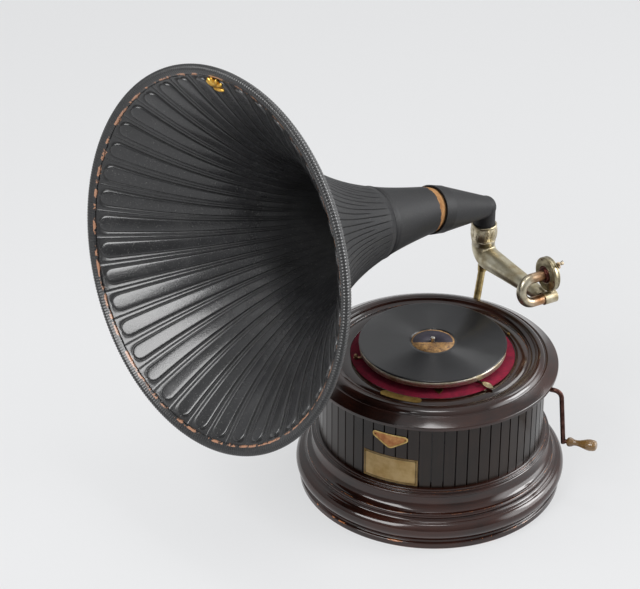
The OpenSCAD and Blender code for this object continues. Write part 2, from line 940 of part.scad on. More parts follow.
// sliding friction disc of the governor
module governor_disc() {
    color([0.62, 0.52, 0.30])
        at(gov_at, gov_low)
            difference() {
                union() {
                    cylinder(r = weight_r + 3, h = 2);
                    cylinder(r = weight_r - 6, h = 4);
                }
                translate([0, 0, -1])
                    cylinder(r = thin_r + 0.02, h = 6);
            }
}

arm_top = rod_r*1.2;
grip_back = 9;

// frame of the crank's splayed arm: Z down the arm, X outwards
module crank_arm_frame() {
    crank_frame()
        translate([bend_x - bend_r + bend_tan, 0, 0])
            rotate([0, -crank_splay, 0])
                mirror([0, 0, 1])
                    children();
}

// bent rod: shaft, arm and the pin of the grip
module crank_rod() {
    color([0.24, 0.17, 0.15]) {
        crank_frame()
            translate([pinion_x - pinion_w/2 - 2, 0, 0])
                rotate([0, 90, 0])
                    cylinder(r = rod_r, h = bend_x - bend_r - pinion_x + pinion_w/2 + 2.2);
        crank_frame()
            translate([bend_x - bend_r, 0, -bend_r])
                rotate([90, 0, 0])
                    rotate([0, 0, crank_splay])
                        rotate_extrude(angle = 90 - crank_splay)
                            translate([bend_r, 0])
                                circle(r = rod_r - 0.03);
        crank_arm_frame() {
            translate([0, 0, bend_tan])
                cylinder(r = rod_r, h = crank_throw - bend_tan + rod_r);
            translate([0, 0, crank_throw])
                rotate([0, 90, 0])
                    cylinder(r = rod_r - 0.5, h = grip_back - 2);
            translate([grip_back - 2, 0, crank_throw])
                rotate([0, 90, 0])
                    cylinder(r = grip_pin_r, h = grip_len - 3);
        }
    }
}

// pinion on the inner end of the crank's shaft
module crank_pinion() {
    color([0.58, 0.56, 0.52])
        crank_frame()
            translate([pinion_x - pinion_w/2, 0, 0])
                rotate([0, 90, 0])
                    difference() {
                        linear_extrude(pinion_w)
                            polygon(gear_pts(pinion_teeth, wind_m));
                        translate([0, 0, -1])
                            cylinder(r = rod_r + 0.02, h = pinion_w + 2);
                    }
}

// turned pear-shaped grip, free on its pin
module crank_grip() {
    g = grip_len;
    color([0.42, 0.25, 0.11])
        crank_arm_frame()
            translate([grip_back - 1.7, 0, crank_throw])
                rotate([0, 90, 0])
                    rotate_extrude()
                        polygon([[grip_pin_r + fit, 0], [5.5, 0], [7.6, 2], [8.2, 5], [7.2, 8.5], [5.4, 12],
                                 [4.9, g*0.32], [5.5, g*0.42], [7.2, g*0.54], [9.2, g*0.67], [grip_r, g*0.78],
                                 [grip_r - 0.6, g*0.9], [8.2, g*0.97], [5.5, g], [0, g], [0, g - 1.5],
                                 [grip_pin_r + fit, g - 1.5]]);
}

// tapered tube of the arm with its upright spigot and pivot boss
module tone_arm_tube() {
    run = arm_len - arm_bend;
    top = collar_z0 - 0.4;
    color([0.55, 0.51, 0.41])
        arm_frame()
            difference() {
                union() {
                    translate([0, 0, top])
                        rotate_extrude()
                            polygon([[plug_r - tube_wall, 0], [tube_r, 0], [tube_r, 0.1], [plug_r - fit, 0.1],
                                     [plug_r - fit, flange_z - collar_z0 - 0.6],
                                     [plug_r - tube_wall, flange_z - collar_z0 - 0.6]]);
                    translate([0, -arm_bend, top])
                        rotate([-90, 0, 90])
                            rotate_extrude(angle = 90)
                                translate([arm_bend, 0])
                                    difference() {
                                        circle(r = tube_r);
                                        circle(r = plug_r - tube_wall);
                                    }
                    translate([0, -arm_bend, top - arm_bend])
                        rotate([90, 0, 0])
                            rotate_extrude()
                                polygon([[plug_r - tube_wall, 0], [tube_r, 0], [tube_end_r, run - 17],
                                         [ferrule_r - 0.5, run - 7], [ferrule_r - 2, run - 2],
                                         [ferrule_r - 3.5, run - 2], [tube_end_r - tube_wall, run - 18]]);
                    translate([0, 0, lug_top + 0.3])
                        cylinder(r = lug_r - 1, h = 12);
                }
                translate([0, 0, lug_top - 1])
                    cylinder(r = stud_r + fit, h = 15);
                translate([0, -arm_len, arm_h])
                    rotate([0, 90, -neck_turn])
                        translate([0, 0, -30])
                            cylinder(r = ferrule_r + 0.02, h = 60);
            }
}

// cross tube at the arm's end that the gooseneck turns in
module tone_arm_ferrule() {
    color([0.66, 0.64, 0.58])
        ferrule_frame()
            translate([ferrule_x0, 0, 0])
                rotate([0, 90, 0])
                    difference() {
                        cylinder(r = ferrule_r, h = ferrule_x1 - ferrule_x0);
                        translate([0, 0, -1])
                            cylinder(r = limb_r + fit, h = ferrule_x1 - ferrule_x0 - 1);
                    }
}

// U-shaped tube from the ferrule to the soundbox
module gooseneck_tube() {
    color([0.56, 0.44, 0.32])
        neck_frame()
            difference() {
                union() {
                    translate([-neck_run, 0, 0])
                        rotate([0, 90, 0])
                            cylinder(r = limb_r, h = neck_run + ferrule_x1 - 2.5);
                    translate([-neck_run, 0, neck_gap/2])
                        rotate([90, 0, 0])
                            rotate([0, 0, 90])
                                rotate_extrude(angle = 180)
                                    translate([neck_gap/2, 0])
                                        circle(r = limb_r);
                    translate([-neck_run, 0, neck_gap])
                        rotate([0, 90, 0])
                            cylinder(r = limb_r, h = neck_run + sound_x0 - 4);
                }
                translate([-neck_run, 0, 0])
                    rotate([0, 90, 0])
                        cylinder(r = limb_bore, h = neck_run + ferrule_x1);
                translate([-neck_run, 0, neck_gap])
                    rotate([0, 90, 0])
                        cylinder(r = limb_bore, h = neck_run + sound_x0);
            }
}

// round box of the diaphragm with its back boss
module soundbox_body() {
    depth = sound_x1 - sound_x0;
    color([0.52, 0.46, 0.38])
        neck_frame()
            translate([sound_x0, 0, neck_gap])
                rotate([0, 90, 0])
                    rotate_extrude()
                        polygon([[limb_bore, -4], [12, -4], [12.6, -3], [12.6, 0], [sound_r*0.72, 0],
                                 [sound_r*0.76, 1.2], [sound_r - 1.6, 1.2], [sound_r, 2.8], [sound_r, depth - 1.5],
                                 [sound_r - 1.5, depth], [sound_r - 5, depth], [sound_r - 5, depth - 3],
                                 [sound_r - 4, depth - 3], [sound_r - 4, 4.5], [limb_bore, 4.5]]);
}

// rubber ring that holds the diaphragm
module soundbox_gasket() {
    color([0.12, 0.11, 0.11])
        neck_frame()
            translate([sound_x0 + 6.5, 0, neck_gap])
                rotate([0, 90, 0])
                    difference() {
                        cylinder(r = sound_r - 4.02, h = 3);
                        translate([0, 0, -1])
                            cylinder(r = sound_r - 7, h = 5);
                        translate([0, 0, 1.3])
                            cylinder(r = sound_r - 5.5, h = 0.44);
                    }
}

// thin mica disc
module diaphragm() {
    color([0.72, 0.70, 0.62])
        neck_frame()
            translate([sound_x0 + 6.5 + 1.32, 0, neck_gap])
                rotate([0, 90, 0])
                    cylinder(r = sound_r - 5.52, h = 0.4);
}

// frame of the needle: Z along the needle's direction from the soundbox's centre
module needle_frame() {
    neck_frame()
        translate([sound_x1, 0, neck_gap])
            rotate([needle_turn, 0, 0])
                children();
}

needle_hold = sound_r + 6;
needle_r = 0.8;
holder_r = 2.6;
mica_x = sound_x0 + 6.5 + 1.72 - sound_x1;

// rocking bar from the diaphragm to the needle socket
module needle_arm() {
    color([0.48, 0.42, 0.33])
        needle_frame()
            difference() {
                union() {
                    translate([mica_x, 0, 0])
                        rotate([0, 90, 0])
                            cylinder(r = 1, h = 2.2 - mica_x);
                    translate([0.6, -1.5, -2])
                        cube([1.6, 3, sound_r + 2]);
                    translate([0.3, -5, sound_r - 4.5])
                        cube([3.2, 10, 6]);
                    translate([1.4, 0, sound_r + 0.4])
                        cylinder(r = holder_r, h = needle_hold - sound_r + 1.1);
                }
                translate([1.4, 0, sound_r])
                    cylinder(r = needle_r + 0.02, h = needle_reach);
                translate([0, 0, needle_hold - 1])
                    rotate([0, 90, 0])
                        cylinder(r = 1.2 + fit, h = 8);
            }
}

// steel needle in its socket
module needle() {
    color([0.62, 0.62, 0.62])
        needle_frame()
            translate([1.4, 0, sound_r + 0.2]) {
                cylinder(r = needle_r, h = needle_reach - sound_r - 4.2);
                translate([0, 0, needle_reach - sound_r - 4.2 - tiny])
                    cylinder(r1 = needle_r, r2 = 0.15, h = 4);
            }
}

// knurled thumb screw of the needle socket
module needle_screw() {
    color([0.50, 0.44, 0.34])
        needle_frame()
            translate([1.4 + needle_r + 0.15, 0, needle_hold - 1])
                rotate([0, 90, 0]) {
                    cylinder(r = 1.2, h = 5);
                    translate([0, 0, 2.2])
                        cylinder(r = 3, h = 4);
                }
}

// flat brake strip with a ball at its outer end
module brake_lever() {
    reach = 35;
    color([0.56, 0.42, 0.30])
        brake_at() {
            translate([0, 0, board_under + 0.5])
                cylinder(r = stud_r, h = velvet_top - board_under - 0.1);
            translate([0, 0, velvet_top + 0.3])
                cylinder(r = 6, h = 2);
            translate([-2.5, -reach, velvet_top + 0.3])
                cube([5, reach, 1.6]);
            translate([0, -reach, velvet_top + 0.3])
                cylinder(r = 4, h = 1.6);
            translate([0, -reach, velvet_top + 5])
                sphere(r = 3.6);
        }
}

// speed lever with a leaf-shaped thumb plate
module speed_lever() {
    reach = 29;
    leaf = 25;
    leaf_z = velvet_top + 4.2;
    leaf_r = 18;
    color([0.66, 0.62, 0.52])
        speed_at() {
            translate([0, 0, board_under + 0.5])
                cylinder(r = stud_r, h = velvet_top - board_under - 0.1);
            translate([0, 0, velvet_top + 0.3])
                cylinder(r = 6, h = 2);
            translate([-2, -reach, velvet_top + 0.3])
                cube([4, reach, 1.6]);
            translate([-2, -reach - 4, velvet_top + 0.3])
                cube([4, 4.1, 5.5]);
            translate([0, -reach - leaf/2, leaf_z])
                linear_extrude(1.4)
                    intersection() {
                        translate([-leaf_r + 6, 0])
                            circle(r = leaf_r);
                        translate([leaf_r - 6, 0])
                            circle(r = leaf_r);
                    }
        }
}

// black elbow: upright plug, corner, tapered limb and the sleeve over the neck's end
module horn_elbow() {
    limb_len = elbow_len - joint_open;
    color([0.13, 0.13, 0.14])
        difference() {
            union() {
                translate([0, pivot_y, flange_z + flange_t + 0.1])
                    cylinder(r = plug_r, h = elbow_h - flange_z - flange_t);
                translate([0, pivot_y, elbow_h])
                    sphere(r = elbow_r);
                limb_frame() {
                    cylinder(r1 = elbow_r - 0.8, r2 = sleeve_r - sleeve_taper - 0.3, h = limb_len - sleeve_len);
                    translate([0, 0, limb_len - sleeve_len - tiny])
                        cylinder(r1 = sleeve_r - sleeve_taper, r2 = sleeve_r, h = sleeve_len + tiny);
                }
            }
            translate([0, pivot_y, flange_z])
                cylinder(r = plug_r - 3, h = elbow_h - flange_z);
            translate([0, pivot_y, elbow_h])
                sphere(r = elbow_r - 3.2);
            limb_frame() {
                cylinder(r1 = elbow_r - 4, r2 = sleeve_bore - 3, h = limb_len);
                translate([0, 0, limb_len - socket_len])
                    cylinder(r = sleeve_bore, h = socket_len + 1);
            }
        }
}

// bare worn tenon of the neck that shows in the open joint
module joint_band() {
    color([0.62, 0.42, 0.22])
        bell_frame()
            rotate_extrude()
                polygon([[joint_r - 4.5, -tenon_len], [joint_r - 3, -tenon_len], [joint_r - 0.5, 0], [joint_r - 4.5, 0]]);
}

// wall of the horn between two stations of its axis
module horn_wall_part(a, b, n) {
    bell_frame()
        rotate_extrude()
            polygon(concat(
                [for (s = steps(a, b, n)) [flare(s), s]],
                [for (s = steps(b, a, n)) [bore(s), s]]));
}

// smooth tapered neck
module horn_neck() {
    color([0.14, 0.14, 0.15])
        horn_wall_part(0, neck_len, neck_steps);
}

// narrow part of the flared bell
module bell_throat() {
    color([0.15, 0.15, 0.16])
        horn_wall_part(bell_cuts[0], bell_cuts[1], bell_steps);
}

// raised tongues inside the wall between two stations of its axis
module horn_tongues(a, b, n) {
    turn = 360/flute_count;
    bell_frame()
        for (i = [0:flute_count - 1])
            rotate([0, 0, turn*(i + 0.5 - flute_share/2)])
                rotate_extrude(angle = turn*flute_share)
                    polygon(concat(
                        [for (s = steps(a, b, n)) [flare(s) - horn_wall/2, s]],
                        [for (s = steps(b, a, n)) [bore(s) - rise(s), s]]));
}

// middle part of the flared bell
module bell_middle() {
    color([0.15, 0.15, 0.16]) {
        horn_wall_part(bell_cuts[1], bell_cuts[2], bell_steps);
        horn_tongues(bell_cuts[1] + flute_in, bell_cuts[2] - flute_in, bell_steps);
    }
}

// wide part of the flared bell
module bell_flare() {
    color([0.15, 0.15, 0.16]) {
        horn_wall_part(bell_cuts[2], bell_cuts[3], bell_steps);
        horn_tongues(bell_cuts[2] + flute_in, bell_cuts[3] - flute_end, bell_steps);
    }
}

rim_s = horn_len - rim_back;
rim_in = [bore(rim_s) - rim_step, rim_s + rim_step];
rim_front = [mouth_r - rim_roll*1.4, horn_len];

// band round the mouth with its rolled edge and skirt
module horn_rim() {
    color([0.16, 0.16, 0.17])
        bell_frame()
            rotate_extrude()
                polygon(concat(
                    [rim_in, [bore(rim_s), rim_s], [flare(rim_s), rim_s],
                     [mouth_r - 2.5, horn_len - rim_skirt - 1], [mouth_r, horn_len - rim_skirt]],
                    arc_pts([mouth_r - rim_roll, horn_len - rim_roll], rim_roll, 0, 90, 6),
                    [rim_front]));
}

ornament_turn = 5;
ornament_in = 9;
leaf_t = 1;

// generic five-lobed gilt shell on the band
module horn_ornament() {
    slope = atan2(rim_front[0] - rim_in[0], rim_front[1] - rim_in[1]);
    color([0.66, 0.52, 0.24])
        bell_frame()
            rotate([0, 0, 90 + ornament_turn])
                translate([rim_in[0], 0, rim_in[1]])
                    rotate([0, slope, 0])
                        translate([0, 0, ornament_in])
                            rotate([0, -90, 0])
                                translate([0, 0, 0.3]) {
                                    for (i = [-2:2])
                                        rotate([0, 0, 32*i])
                                            translate([8.5, 0, 0])
                                                cylinder(r = 3.8, h = leaf_t);
                                    cylinder(r = 7, h = leaf_t);
                                    translate([-10, -8, 0])
                                        cube([5.5, 16, leaf_t]);
                                }
}

base_moulding();
bottom_board();
case_shell();
case_slats();
top_moulding();
motor_board();
velvet_disc();
top_plate();
fan_badge();
side_plate();
plate_pins();
crank_escutcheon();
crank_bearing();
bracket_foot();
bracket_arm();
bracket_screws();
horn_collar();
motor_top_plate();
motor_bottom_plate();
motor_pillars();
speed_pointer();
board_peg();
platter();
spindle();
spindle_wheel();
platter_felt();
record();
record_label();
spring_barrel();
mainspring();
barrel_arbor();
winding_wheel();
inter_arbor();
inter_wheel();
governor_shaft();
governor_weights();
governor_springs();
governor_disc();
crank_rod();
crank_pinion();
crank_grip();
tone_arm_tube();
tone_arm_ferrule();
gooseneck_tube();
soundbox_body();
soundbox_gasket();
diaphragm();
needle_arm();
needle();
needle_screw();
brake_lever();
speed_lever();
horn_elbow();
joint_band();
horn_neck();
bell_throat();
bell_middle();
bell_flare();
horn_rim();
horn_ornament();
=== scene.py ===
import json
import math
import bmesh
import bpy
from mathutils import Matrix, Vector, noise


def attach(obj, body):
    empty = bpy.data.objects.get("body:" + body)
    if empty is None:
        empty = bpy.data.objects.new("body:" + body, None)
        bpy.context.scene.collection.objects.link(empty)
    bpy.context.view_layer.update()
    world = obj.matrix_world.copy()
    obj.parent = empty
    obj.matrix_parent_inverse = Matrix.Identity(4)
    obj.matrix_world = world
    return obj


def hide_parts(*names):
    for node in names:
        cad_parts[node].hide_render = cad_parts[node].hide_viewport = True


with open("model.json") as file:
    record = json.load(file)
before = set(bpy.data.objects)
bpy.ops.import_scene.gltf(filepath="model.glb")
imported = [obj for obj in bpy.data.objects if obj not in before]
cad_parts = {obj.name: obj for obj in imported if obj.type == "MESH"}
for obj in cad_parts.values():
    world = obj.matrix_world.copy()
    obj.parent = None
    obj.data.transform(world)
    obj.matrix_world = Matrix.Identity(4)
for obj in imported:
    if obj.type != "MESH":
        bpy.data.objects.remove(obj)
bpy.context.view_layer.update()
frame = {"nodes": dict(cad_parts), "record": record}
mm = 0.001
print("frame loaded:", len(frame["nodes"]), "nodes")

# camera at the photograph's place
cameraPlace = {"place": (1.0640, -2.9553, 2.2430), "look": (-0.3386, 0.7873, -0.5154), "lens": 123.7, "sensor": 36.0}
camera = bpy.data.objects.new("camera", bpy.data.cameras.new("camera"))
camera.data.lens = cameraPlace["lens"]
camera.data.sensor_width = cameraPlace["sensor"]
camera.data.sensor_fit = "HORIZONTAL"
camera.data.clip_end = 60
camera.location = cameraPlace["place"]
camera.rotation_mode = "QUATERNION"
camera.rotation_quaternion = Vector(cameraPlace["look"]).to_track_quat("-Z", "Y")
bpy.context.scene.collection.objects.link(camera)
bpy.context.scene.camera = camera
bpy.context.scene.view_settings.view_transform = "Standard"


def linear(code):
    parts = [int(code[i:i + 2], 16) / 255 for i in (1, 3, 5)]
    return tuple(c / 12.92 if c < 0.04045 else ((c + 0.055) / 1.055) ** 2.4 for c in parts) + (1.0,)


def addNode(tree, kind, settings=None, links=None):
    node = tree.nodes.new(kind)
    for key, value in (settings or {}).items():
        if key == "stops":
            elements = node.color_ramp.elements
            elements.remove(elements[-1])
            for i, (spot, tone) in enumerate(value):
                element = elements[0] if i == 0 else elements.new(spot)
                element.position = spot
                element.color = linear(tone) if isinstance(tone, str) else (tone, tone, tone, 1)
        elif isinstance(key, str) and hasattr(node, key):
            setattr(node, key, value)
        else:
            node.inputs[key].default_value = value
    for key, source in (links or {}).items():
        tree.links.new(source, node.inputs[key])
    return node


def newMaterial(name):
    material = bpy.data.materials.new(name)
    material.use_nodes = True
    tree = material.node_tree
    shader = tree.nodes["Principled BSDF"]
    return material, tree, shader


# black lacquer over paper pulp: half-gloss film, painted shade near black in the grooves and the deep throat, tan pulp
# where it is chipped
def blackPulp(name, chips, dust, dull):
    material, tree, shader = newMaterial(name)
    place = addNode(tree, "ShaderNodeTexCoord").outputs["Object"]
    cloud = addNode(tree, "ShaderNodeTexNoise", {"Scale": 14.0, "Detail": 6.0, "Roughness": 0.62}, {"Vector": place})
    grit = addNode(tree, "ShaderNodeTexNoise", {"Scale": 420.0, "Detail": 3.0}, {"Vector": place})  # 2 mm orange peel
    wear = addNode(tree, "ShaderNodeAttribute", {"attribute_name": "wear"})
    paintedShade = addNode(tree, "ShaderNodeAttribute", {"attribute_name": "paintedShade"})
    outside = addNode(tree, "ShaderNodeAttribute", {"attribute_name": "dull"})
    flat = addNode(tree, "ShaderNodeMath", {"operation": "ADD", 1: dull, "use_clamp": True}, {0: outside.outputs["Fac"]})
    edge = addNode(tree, "ShaderNodeTexNoise", {"Scale": 60.0, "Detail": 5.0, "Roughness": 0.68}, {"Vector": place})
    mixed = addNode(tree, "ShaderNodeMath", {"operation": "MULTIPLY_ADD", 1: chips}, {0: wear.outputs["Fac"], 2: edge.outputs["Fac"]})
    chip = addNode(tree, "ShaderNodeValToRGB", {"stops": [(0.0, 0.0), (0.86, 0.0), (0.90, 1.0)]}, {"Fac": mixed.outputs[0]})
    base = addNode(tree, "ShaderNodeValToRGB", {"stops": [(0.3, "#0d0d0e"), (0.55, "#19191b"), (0.75, "#262627")]}, {"Fac": cloud.outputs["Fac"]})
    speck = addNode(tree, "ShaderNodeValToRGB", {"stops": [(0.0, 0.0), (0.60, 0.0), (0.76, dust)]}, {"Fac": grit.outputs["Fac"]})
    dusty = addNode(tree, "ShaderNodeMix", {"data_type": "RGBA", 7: linear("#6a6a66")}, {"Factor": speck.outputs["Color"], 6: base.outputs["Color"]})
    # painted shade: mixes to near black where the mesh attribute is set, in grooves, ridge valleys and the deep throat
    shadedBase = addNode(tree, "ShaderNodeMix", {"data_type": "RGBA", 7: linear("#020202")}, {"Factor": paintedShade.outputs["Fac"], 6: dusty.outputs[2]})
    bare = addNode(tree, "ShaderNodeMix", {"data_type": "RGBA", 7: linear("#9e7359")}, {"Factor": chip.outputs["Color"], 6: shadedBase.outputs[2]})
    rough = addNode(tree, "ShaderNodeValToRGB", {"stops": [(0.3, 0.17), (0.7, 0.31)]}, {"Fac": cloud.outputs["Fac"]})
    matt = addNode(tree, "ShaderNodeMath", {"operation": "MULTIPLY_ADD", 1: 0.5}, {0: paintedShade.outputs["Fac"], 2: rough.outputs["Color"]})
    worn = addNode(tree, "ShaderNodeMath", {"operation": "MULTIPLY_ADD", 1: 0.3}, {0: flat.outputs[0], 2: matt.outputs[0]})
    film = addNode(tree, "ShaderNodeMath", {"operation": "MULTIPLY_ADD", 1: -0.4, 2: 0.4}, {0: flat.outputs[0]})
    mirror = addNode(tree, "ShaderNodeMath", {"operation": "MULTIPLY_ADD", 1: -0.22, 2: 0.5}, {0: flat.outputs[0]})
    bump = addNode(tree, "ShaderNodeBump", {"Strength": 0.42, "Distance": 0.0006}, {"Height": grit.outputs["Fac"]})
    tree.links.new(bare.outputs[2], shader.inputs["Base Color"])
    tree.links.new(worn.outputs[0], shader.inputs["Roughness"])
    tree.links.new(film.outputs[0], shader.inputs["Coat Weight"])
    tree.links.new(mirror.outputs[0], shader.inputs["Specular IOR Level"])
    tree.links.new(bump.outputs[0], shader.inputs["Normal"])
    shader.inputs["IOR"].default_value = 1.5
    shader.inputs["Coat Roughness"].default_value = 0.14
    return material


# dark red-brown lacquered wood: fine grain under a glossy film, worn orange at the arrises
def lacquerWood(name, low, high, chips, gloss, coat, upright):
    material, tree, shader = newMaterial(name)
    place = addNode(tree, "ShaderNodeTexCoord").outputs["Object"]
    stretch = addNode(tree, "ShaderNodeMapping", {"Scale": (1, 1, 0.06) if upright else (1, 1, 14)}, {"Vector": place})
    grain = addNode(tree, "ShaderNodeTexNoise", {"Scale": 120.0 if upright else 26.0, "Detail": 5.0, "Roughness": 0.6},
                    {"Vector": stretch.outputs[0]})
    cloud = addNode(tree, "ShaderNodeTexNoise", {"Scale": 11.0, "Detail": 4.0}, {"Vector": place})
    wear = addNode(tree, "ShaderNodeAttribute", {"attribute_name": "wear"}).outputs["Fac"]
    edge = addNode(tree, "ShaderNodeTexNoise", {"Scale": 34.0, "Detail": 5.0, "Roughness": 0.7}, {"Vector": place})
    mixed = addNode(tree, "ShaderNodeMath", {"operation": "MULTIPLY_ADD", 1: chips}, {0: wear, 2: edge.outputs["Fac"]})
    chip = addNode(tree, "ShaderNodeValToRGB", {"stops": [(0.0, 0.0), (0.80, 0.0), (0.84, 1.0)]}, {"Fac": mixed.outputs[0]}).outputs["Color"]
    blend = addNode(tree, "ShaderNodeMath", {"operation": "MULTIPLY_ADD", 1: 0.55}, {0: grain.outputs["Fac"], 2: cloud.outputs["Fac"]})
    base = addNode(tree, "ShaderNodeValToRGB", {"stops": [(0.55, low), (0.95, high)]}, {"Fac": blend.outputs[0]}).outputs["Color"]
    bare = addNode(tree, "ShaderNodeMix", {"data_type": "RGBA"}, {"Factor": chip})
    tree.links.new(base, bare.inputs[6])
    bare.inputs[7].default_value = linear("#a8683c")
    tree.links.new(bare.outputs[2], shader.inputs["Base Color"])
    rough = addNode(tree, "ShaderNodeValToRGB", {"stops": [(0.3, gloss), (0.75, gloss + 0.1)]}, {"Fac": cloud.outputs["Fac"]}).outputs["Color"]
    tree.links.new(rough, shader.inputs["Roughness"])
    bump = addNode(tree, "ShaderNodeBump", {"Strength": 0.03, "Distance": 0.0004}, {"Height": grain.outputs["Fac"]})
    tree.links.new(bump.outputs[0], shader.inputs["Normal"])
    shader.inputs["IOR"].default_value = 1.52
    shader.inputs["Specular IOR Level"].default_value = 0.3 if upright else 0.5
    shader.inputs["Coat Weight"].default_value = coat
    shader.inputs["Coat Roughness"].default_value = 0.05
    return material


# worn metal: bright plating rubbed through to a duller tone, darker tarnish in patches
def wornMetal(name, bright, dull, tarnish, rough, patch):
    material, tree, shader = newMaterial(name)
    place = addNode(tree, "ShaderNodeTexCoord").outputs["Object"]
    cloud = addNode(tree, "ShaderNodeTexNoise", {"Scale": patch, "Detail": 6.0, "Roughness": 0.65}, {"Vector": place})
    fine = addNode(tree, "ShaderNodeTexNoise", {"Scale": patch * 9, "Detail": 3.0}, {"Vector": place})
    base = addNode(tree, "ShaderNodeValToRGB", {"stops": [(0.28, tarnish), (0.46, dull), (0.62, bright)]}, {"Fac": cloud.outputs["Fac"]}).outputs["Color"]
    tree.links.new(base, shader.inputs["Base Color"])
    shine = addNode(tree, "ShaderNodeValToRGB", {"stops": [(0.3, rough + 0.2), (0.65, rough)]}, {"Fac": cloud.outputs["Fac"]}).outputs["Color"]
    tree.links.new(shine, shader.inputs["Roughness"])
    bump = addNode(tree, "ShaderNodeBump", {"Strength": 0.1, "Distance": 0.0003}, {"Height": fine.outputs["Fac"]})
    tree.links.new(bump.outputs[0], shader.inputs["Normal"])
    shader.inputs["Metallic"].default_value = 1.0
    return material


# crimson cotton velvet: deep colour with a pale sheen at grazing angles, nap brushed in patches
def velvetPile():
    material, tree, shader = newMaterial("crimsonVelvet")
    place = addNode(tree, "ShaderNodeTexCoord").outputs["Object"]
    nap = addNode(tree, "ShaderNodeTexNoise", {"Scale": 60.0, "Detail": 5.0, "Roughness": 0.7}, {"Vector": place})
    pile = addNode(tree, "ShaderNodeTexNoise", {"Scale": 900.0, "Detail": 2.0}, {"Vector": place})  # tufts drawn 1 mm wide
    base = addNode(tree, "ShaderNodeValToRGB", {"stops": [(0.3, "#5c0520"), (0.55, "#86082e"), (0.75, "#9c1440")]}, {"Fac": nap.outputs["Fac"]}).outputs["Color"]
    tree.links.new(base, shader.inputs["Base Color"])
    bump = addNode(tree, "ShaderNodeBump", {"Strength": 0.5, "Distance": 0.0008}, {"Height": pile.outputs["Fac"]})
    tree.links.new(bump.outputs[0], shader.inputs["Normal"])
    shader.inputs["Roughness"].default_value = 0.95
    shader.inputs["Sheen Weight"].default_value = 0.5
    shader.inputs["Sheen Roughness"].default_value = 0.4
    shader.inputs["Sheen Tint"].default_value = linear("#c2506a")
    return material


# pressed shellac: black, grooved in rings, so light smears across the grooves
def shellacDisc():
    material, tree, shader = newMaterial("pressedShellac")
    place = addNode(tree, "ShaderNodeTexCoord").outputs["Object"]
    split = addNode(tree, "ShaderNodeSeparateXYZ", links={"Vector": place})
    flat = addNode(tree, "ShaderNodeCombineXYZ", links={"X": split.outputs["X"], "Y": split.outputs["Y"]})
    reach = addNode(tree, "ShaderNodeVectorMath", {"operation": "LENGTH"}, {0: flat.outputs[0]})
    wave = addNode(tree, "ShaderNodeMath", {"operation": "MULTIPLY", 1: 4189.0}, {0: reach.outputs["Value"]})  # rings drawn 1.5 mm apart
    ring = addNode(tree, "ShaderNodeMath", {"operation": "SINE"}, {0: wave.outputs[0]})
    cloud = addNode(tree, "ShaderNodeTexNoise", {"Scale": 18.0, "Detail": 4.0}, {"Vector": place})
    tree.links.new(addNode(tree, "ShaderNodeValToRGB", {"stops": [(0.3, "#141416"), (0.7, "#202023")]}, {"Fac": cloud.outputs["Fac"]}).outputs["Color"], shader.inputs["Base Color"])
    bump = addNode(tree, "ShaderNodeBump", {"Strength": 0.10, "Distance": 0.0002}, {"Height": ring.outputs[0]})
    tree.links.new(bump.outputs[0], shader.inputs["Normal"])
    tangent = addNode(tree, "ShaderNodeTangent", {"direction_type": "RADIAL", "axis": "Z"})
    tree.links.new(tangent.outputs[0], shader.inputs["Tangent"])
    shader.inputs["Roughness"].default_value = 0.28
    shader.inputs["Anisotropic"].default_value = 0.95
    shader.inputs["Anisotropic Rotation"].default_value = 0.25  # across the grooves
    shader.inputs["IOR"].default_value = 1.6
    return material


# printed paper: plum upper part, old gold lower part and border ring, scuffed
def labelPaper():
    material, tree, shader = newMaterial("labelPaper")
    place = addNode(tree, "ShaderNodeTexCoord").outputs["Object"]
    cloud = addNode(tree, "ShaderNodeTexNoise", {"Scale": 160.0, "Detail": 5.0, "Roughness": 0.7}, {"Vector": place})
    flat = addNode(tree, "ShaderNodeVectorMath", {"operation": "MULTIPLY", 1: (1, 1, 0)}, {0: place})
    reach = addNode(tree, "ShaderNodeVectorMath", {"operation": "LENGTH"}, {0: flat.outputs[0]})
    up = addNode(tree, "ShaderNodeVectorMath", {"operation": "DOT_PRODUCT", 1: (-0.395, 0.919, 0)}, {0: place})
    upper = addNode(tree, "ShaderNodeMath", {"operation": "GREATER_THAN", 1: -0.004}, {0: up.outputs["Value"]})
    inside = addNode(tree, "ShaderNodeMath", {"operation": "LESS_THAN", 1: 0.0335}, {0: reach.outputs["Value"]})
    plum = addNode(tree, "ShaderNodeMath", {"operation": "MULTIPLY"}, {0: upper.outputs[0], 1: inside.outputs[0]})
    gold = addNode(tree, "ShaderNodeValToRGB", {"stops": [(0.36, "#6b4a2e"), (0.62, "#c79a5e")]}, {"Fac": cloud.outputs["Fac"]})
    dark = addNode(tree, "ShaderNodeValToRGB", {"stops": [(0.3, "#131120"), (0.72, "#372e3e")]}, {"Fac": cloud.outputs["Fac"]})
    both = addNode(tree, "ShaderNodeMix", {"data_type": "RGBA"}, {"Factor": plum.outputs[0], 6: gold.outputs["Color"], 7: dark.outputs["Color"]})
    tree.links.new(both.outputs[2], shader.inputs["Base Color"])
    shader.inputs["Roughness"].default_value = 0.6
    return material


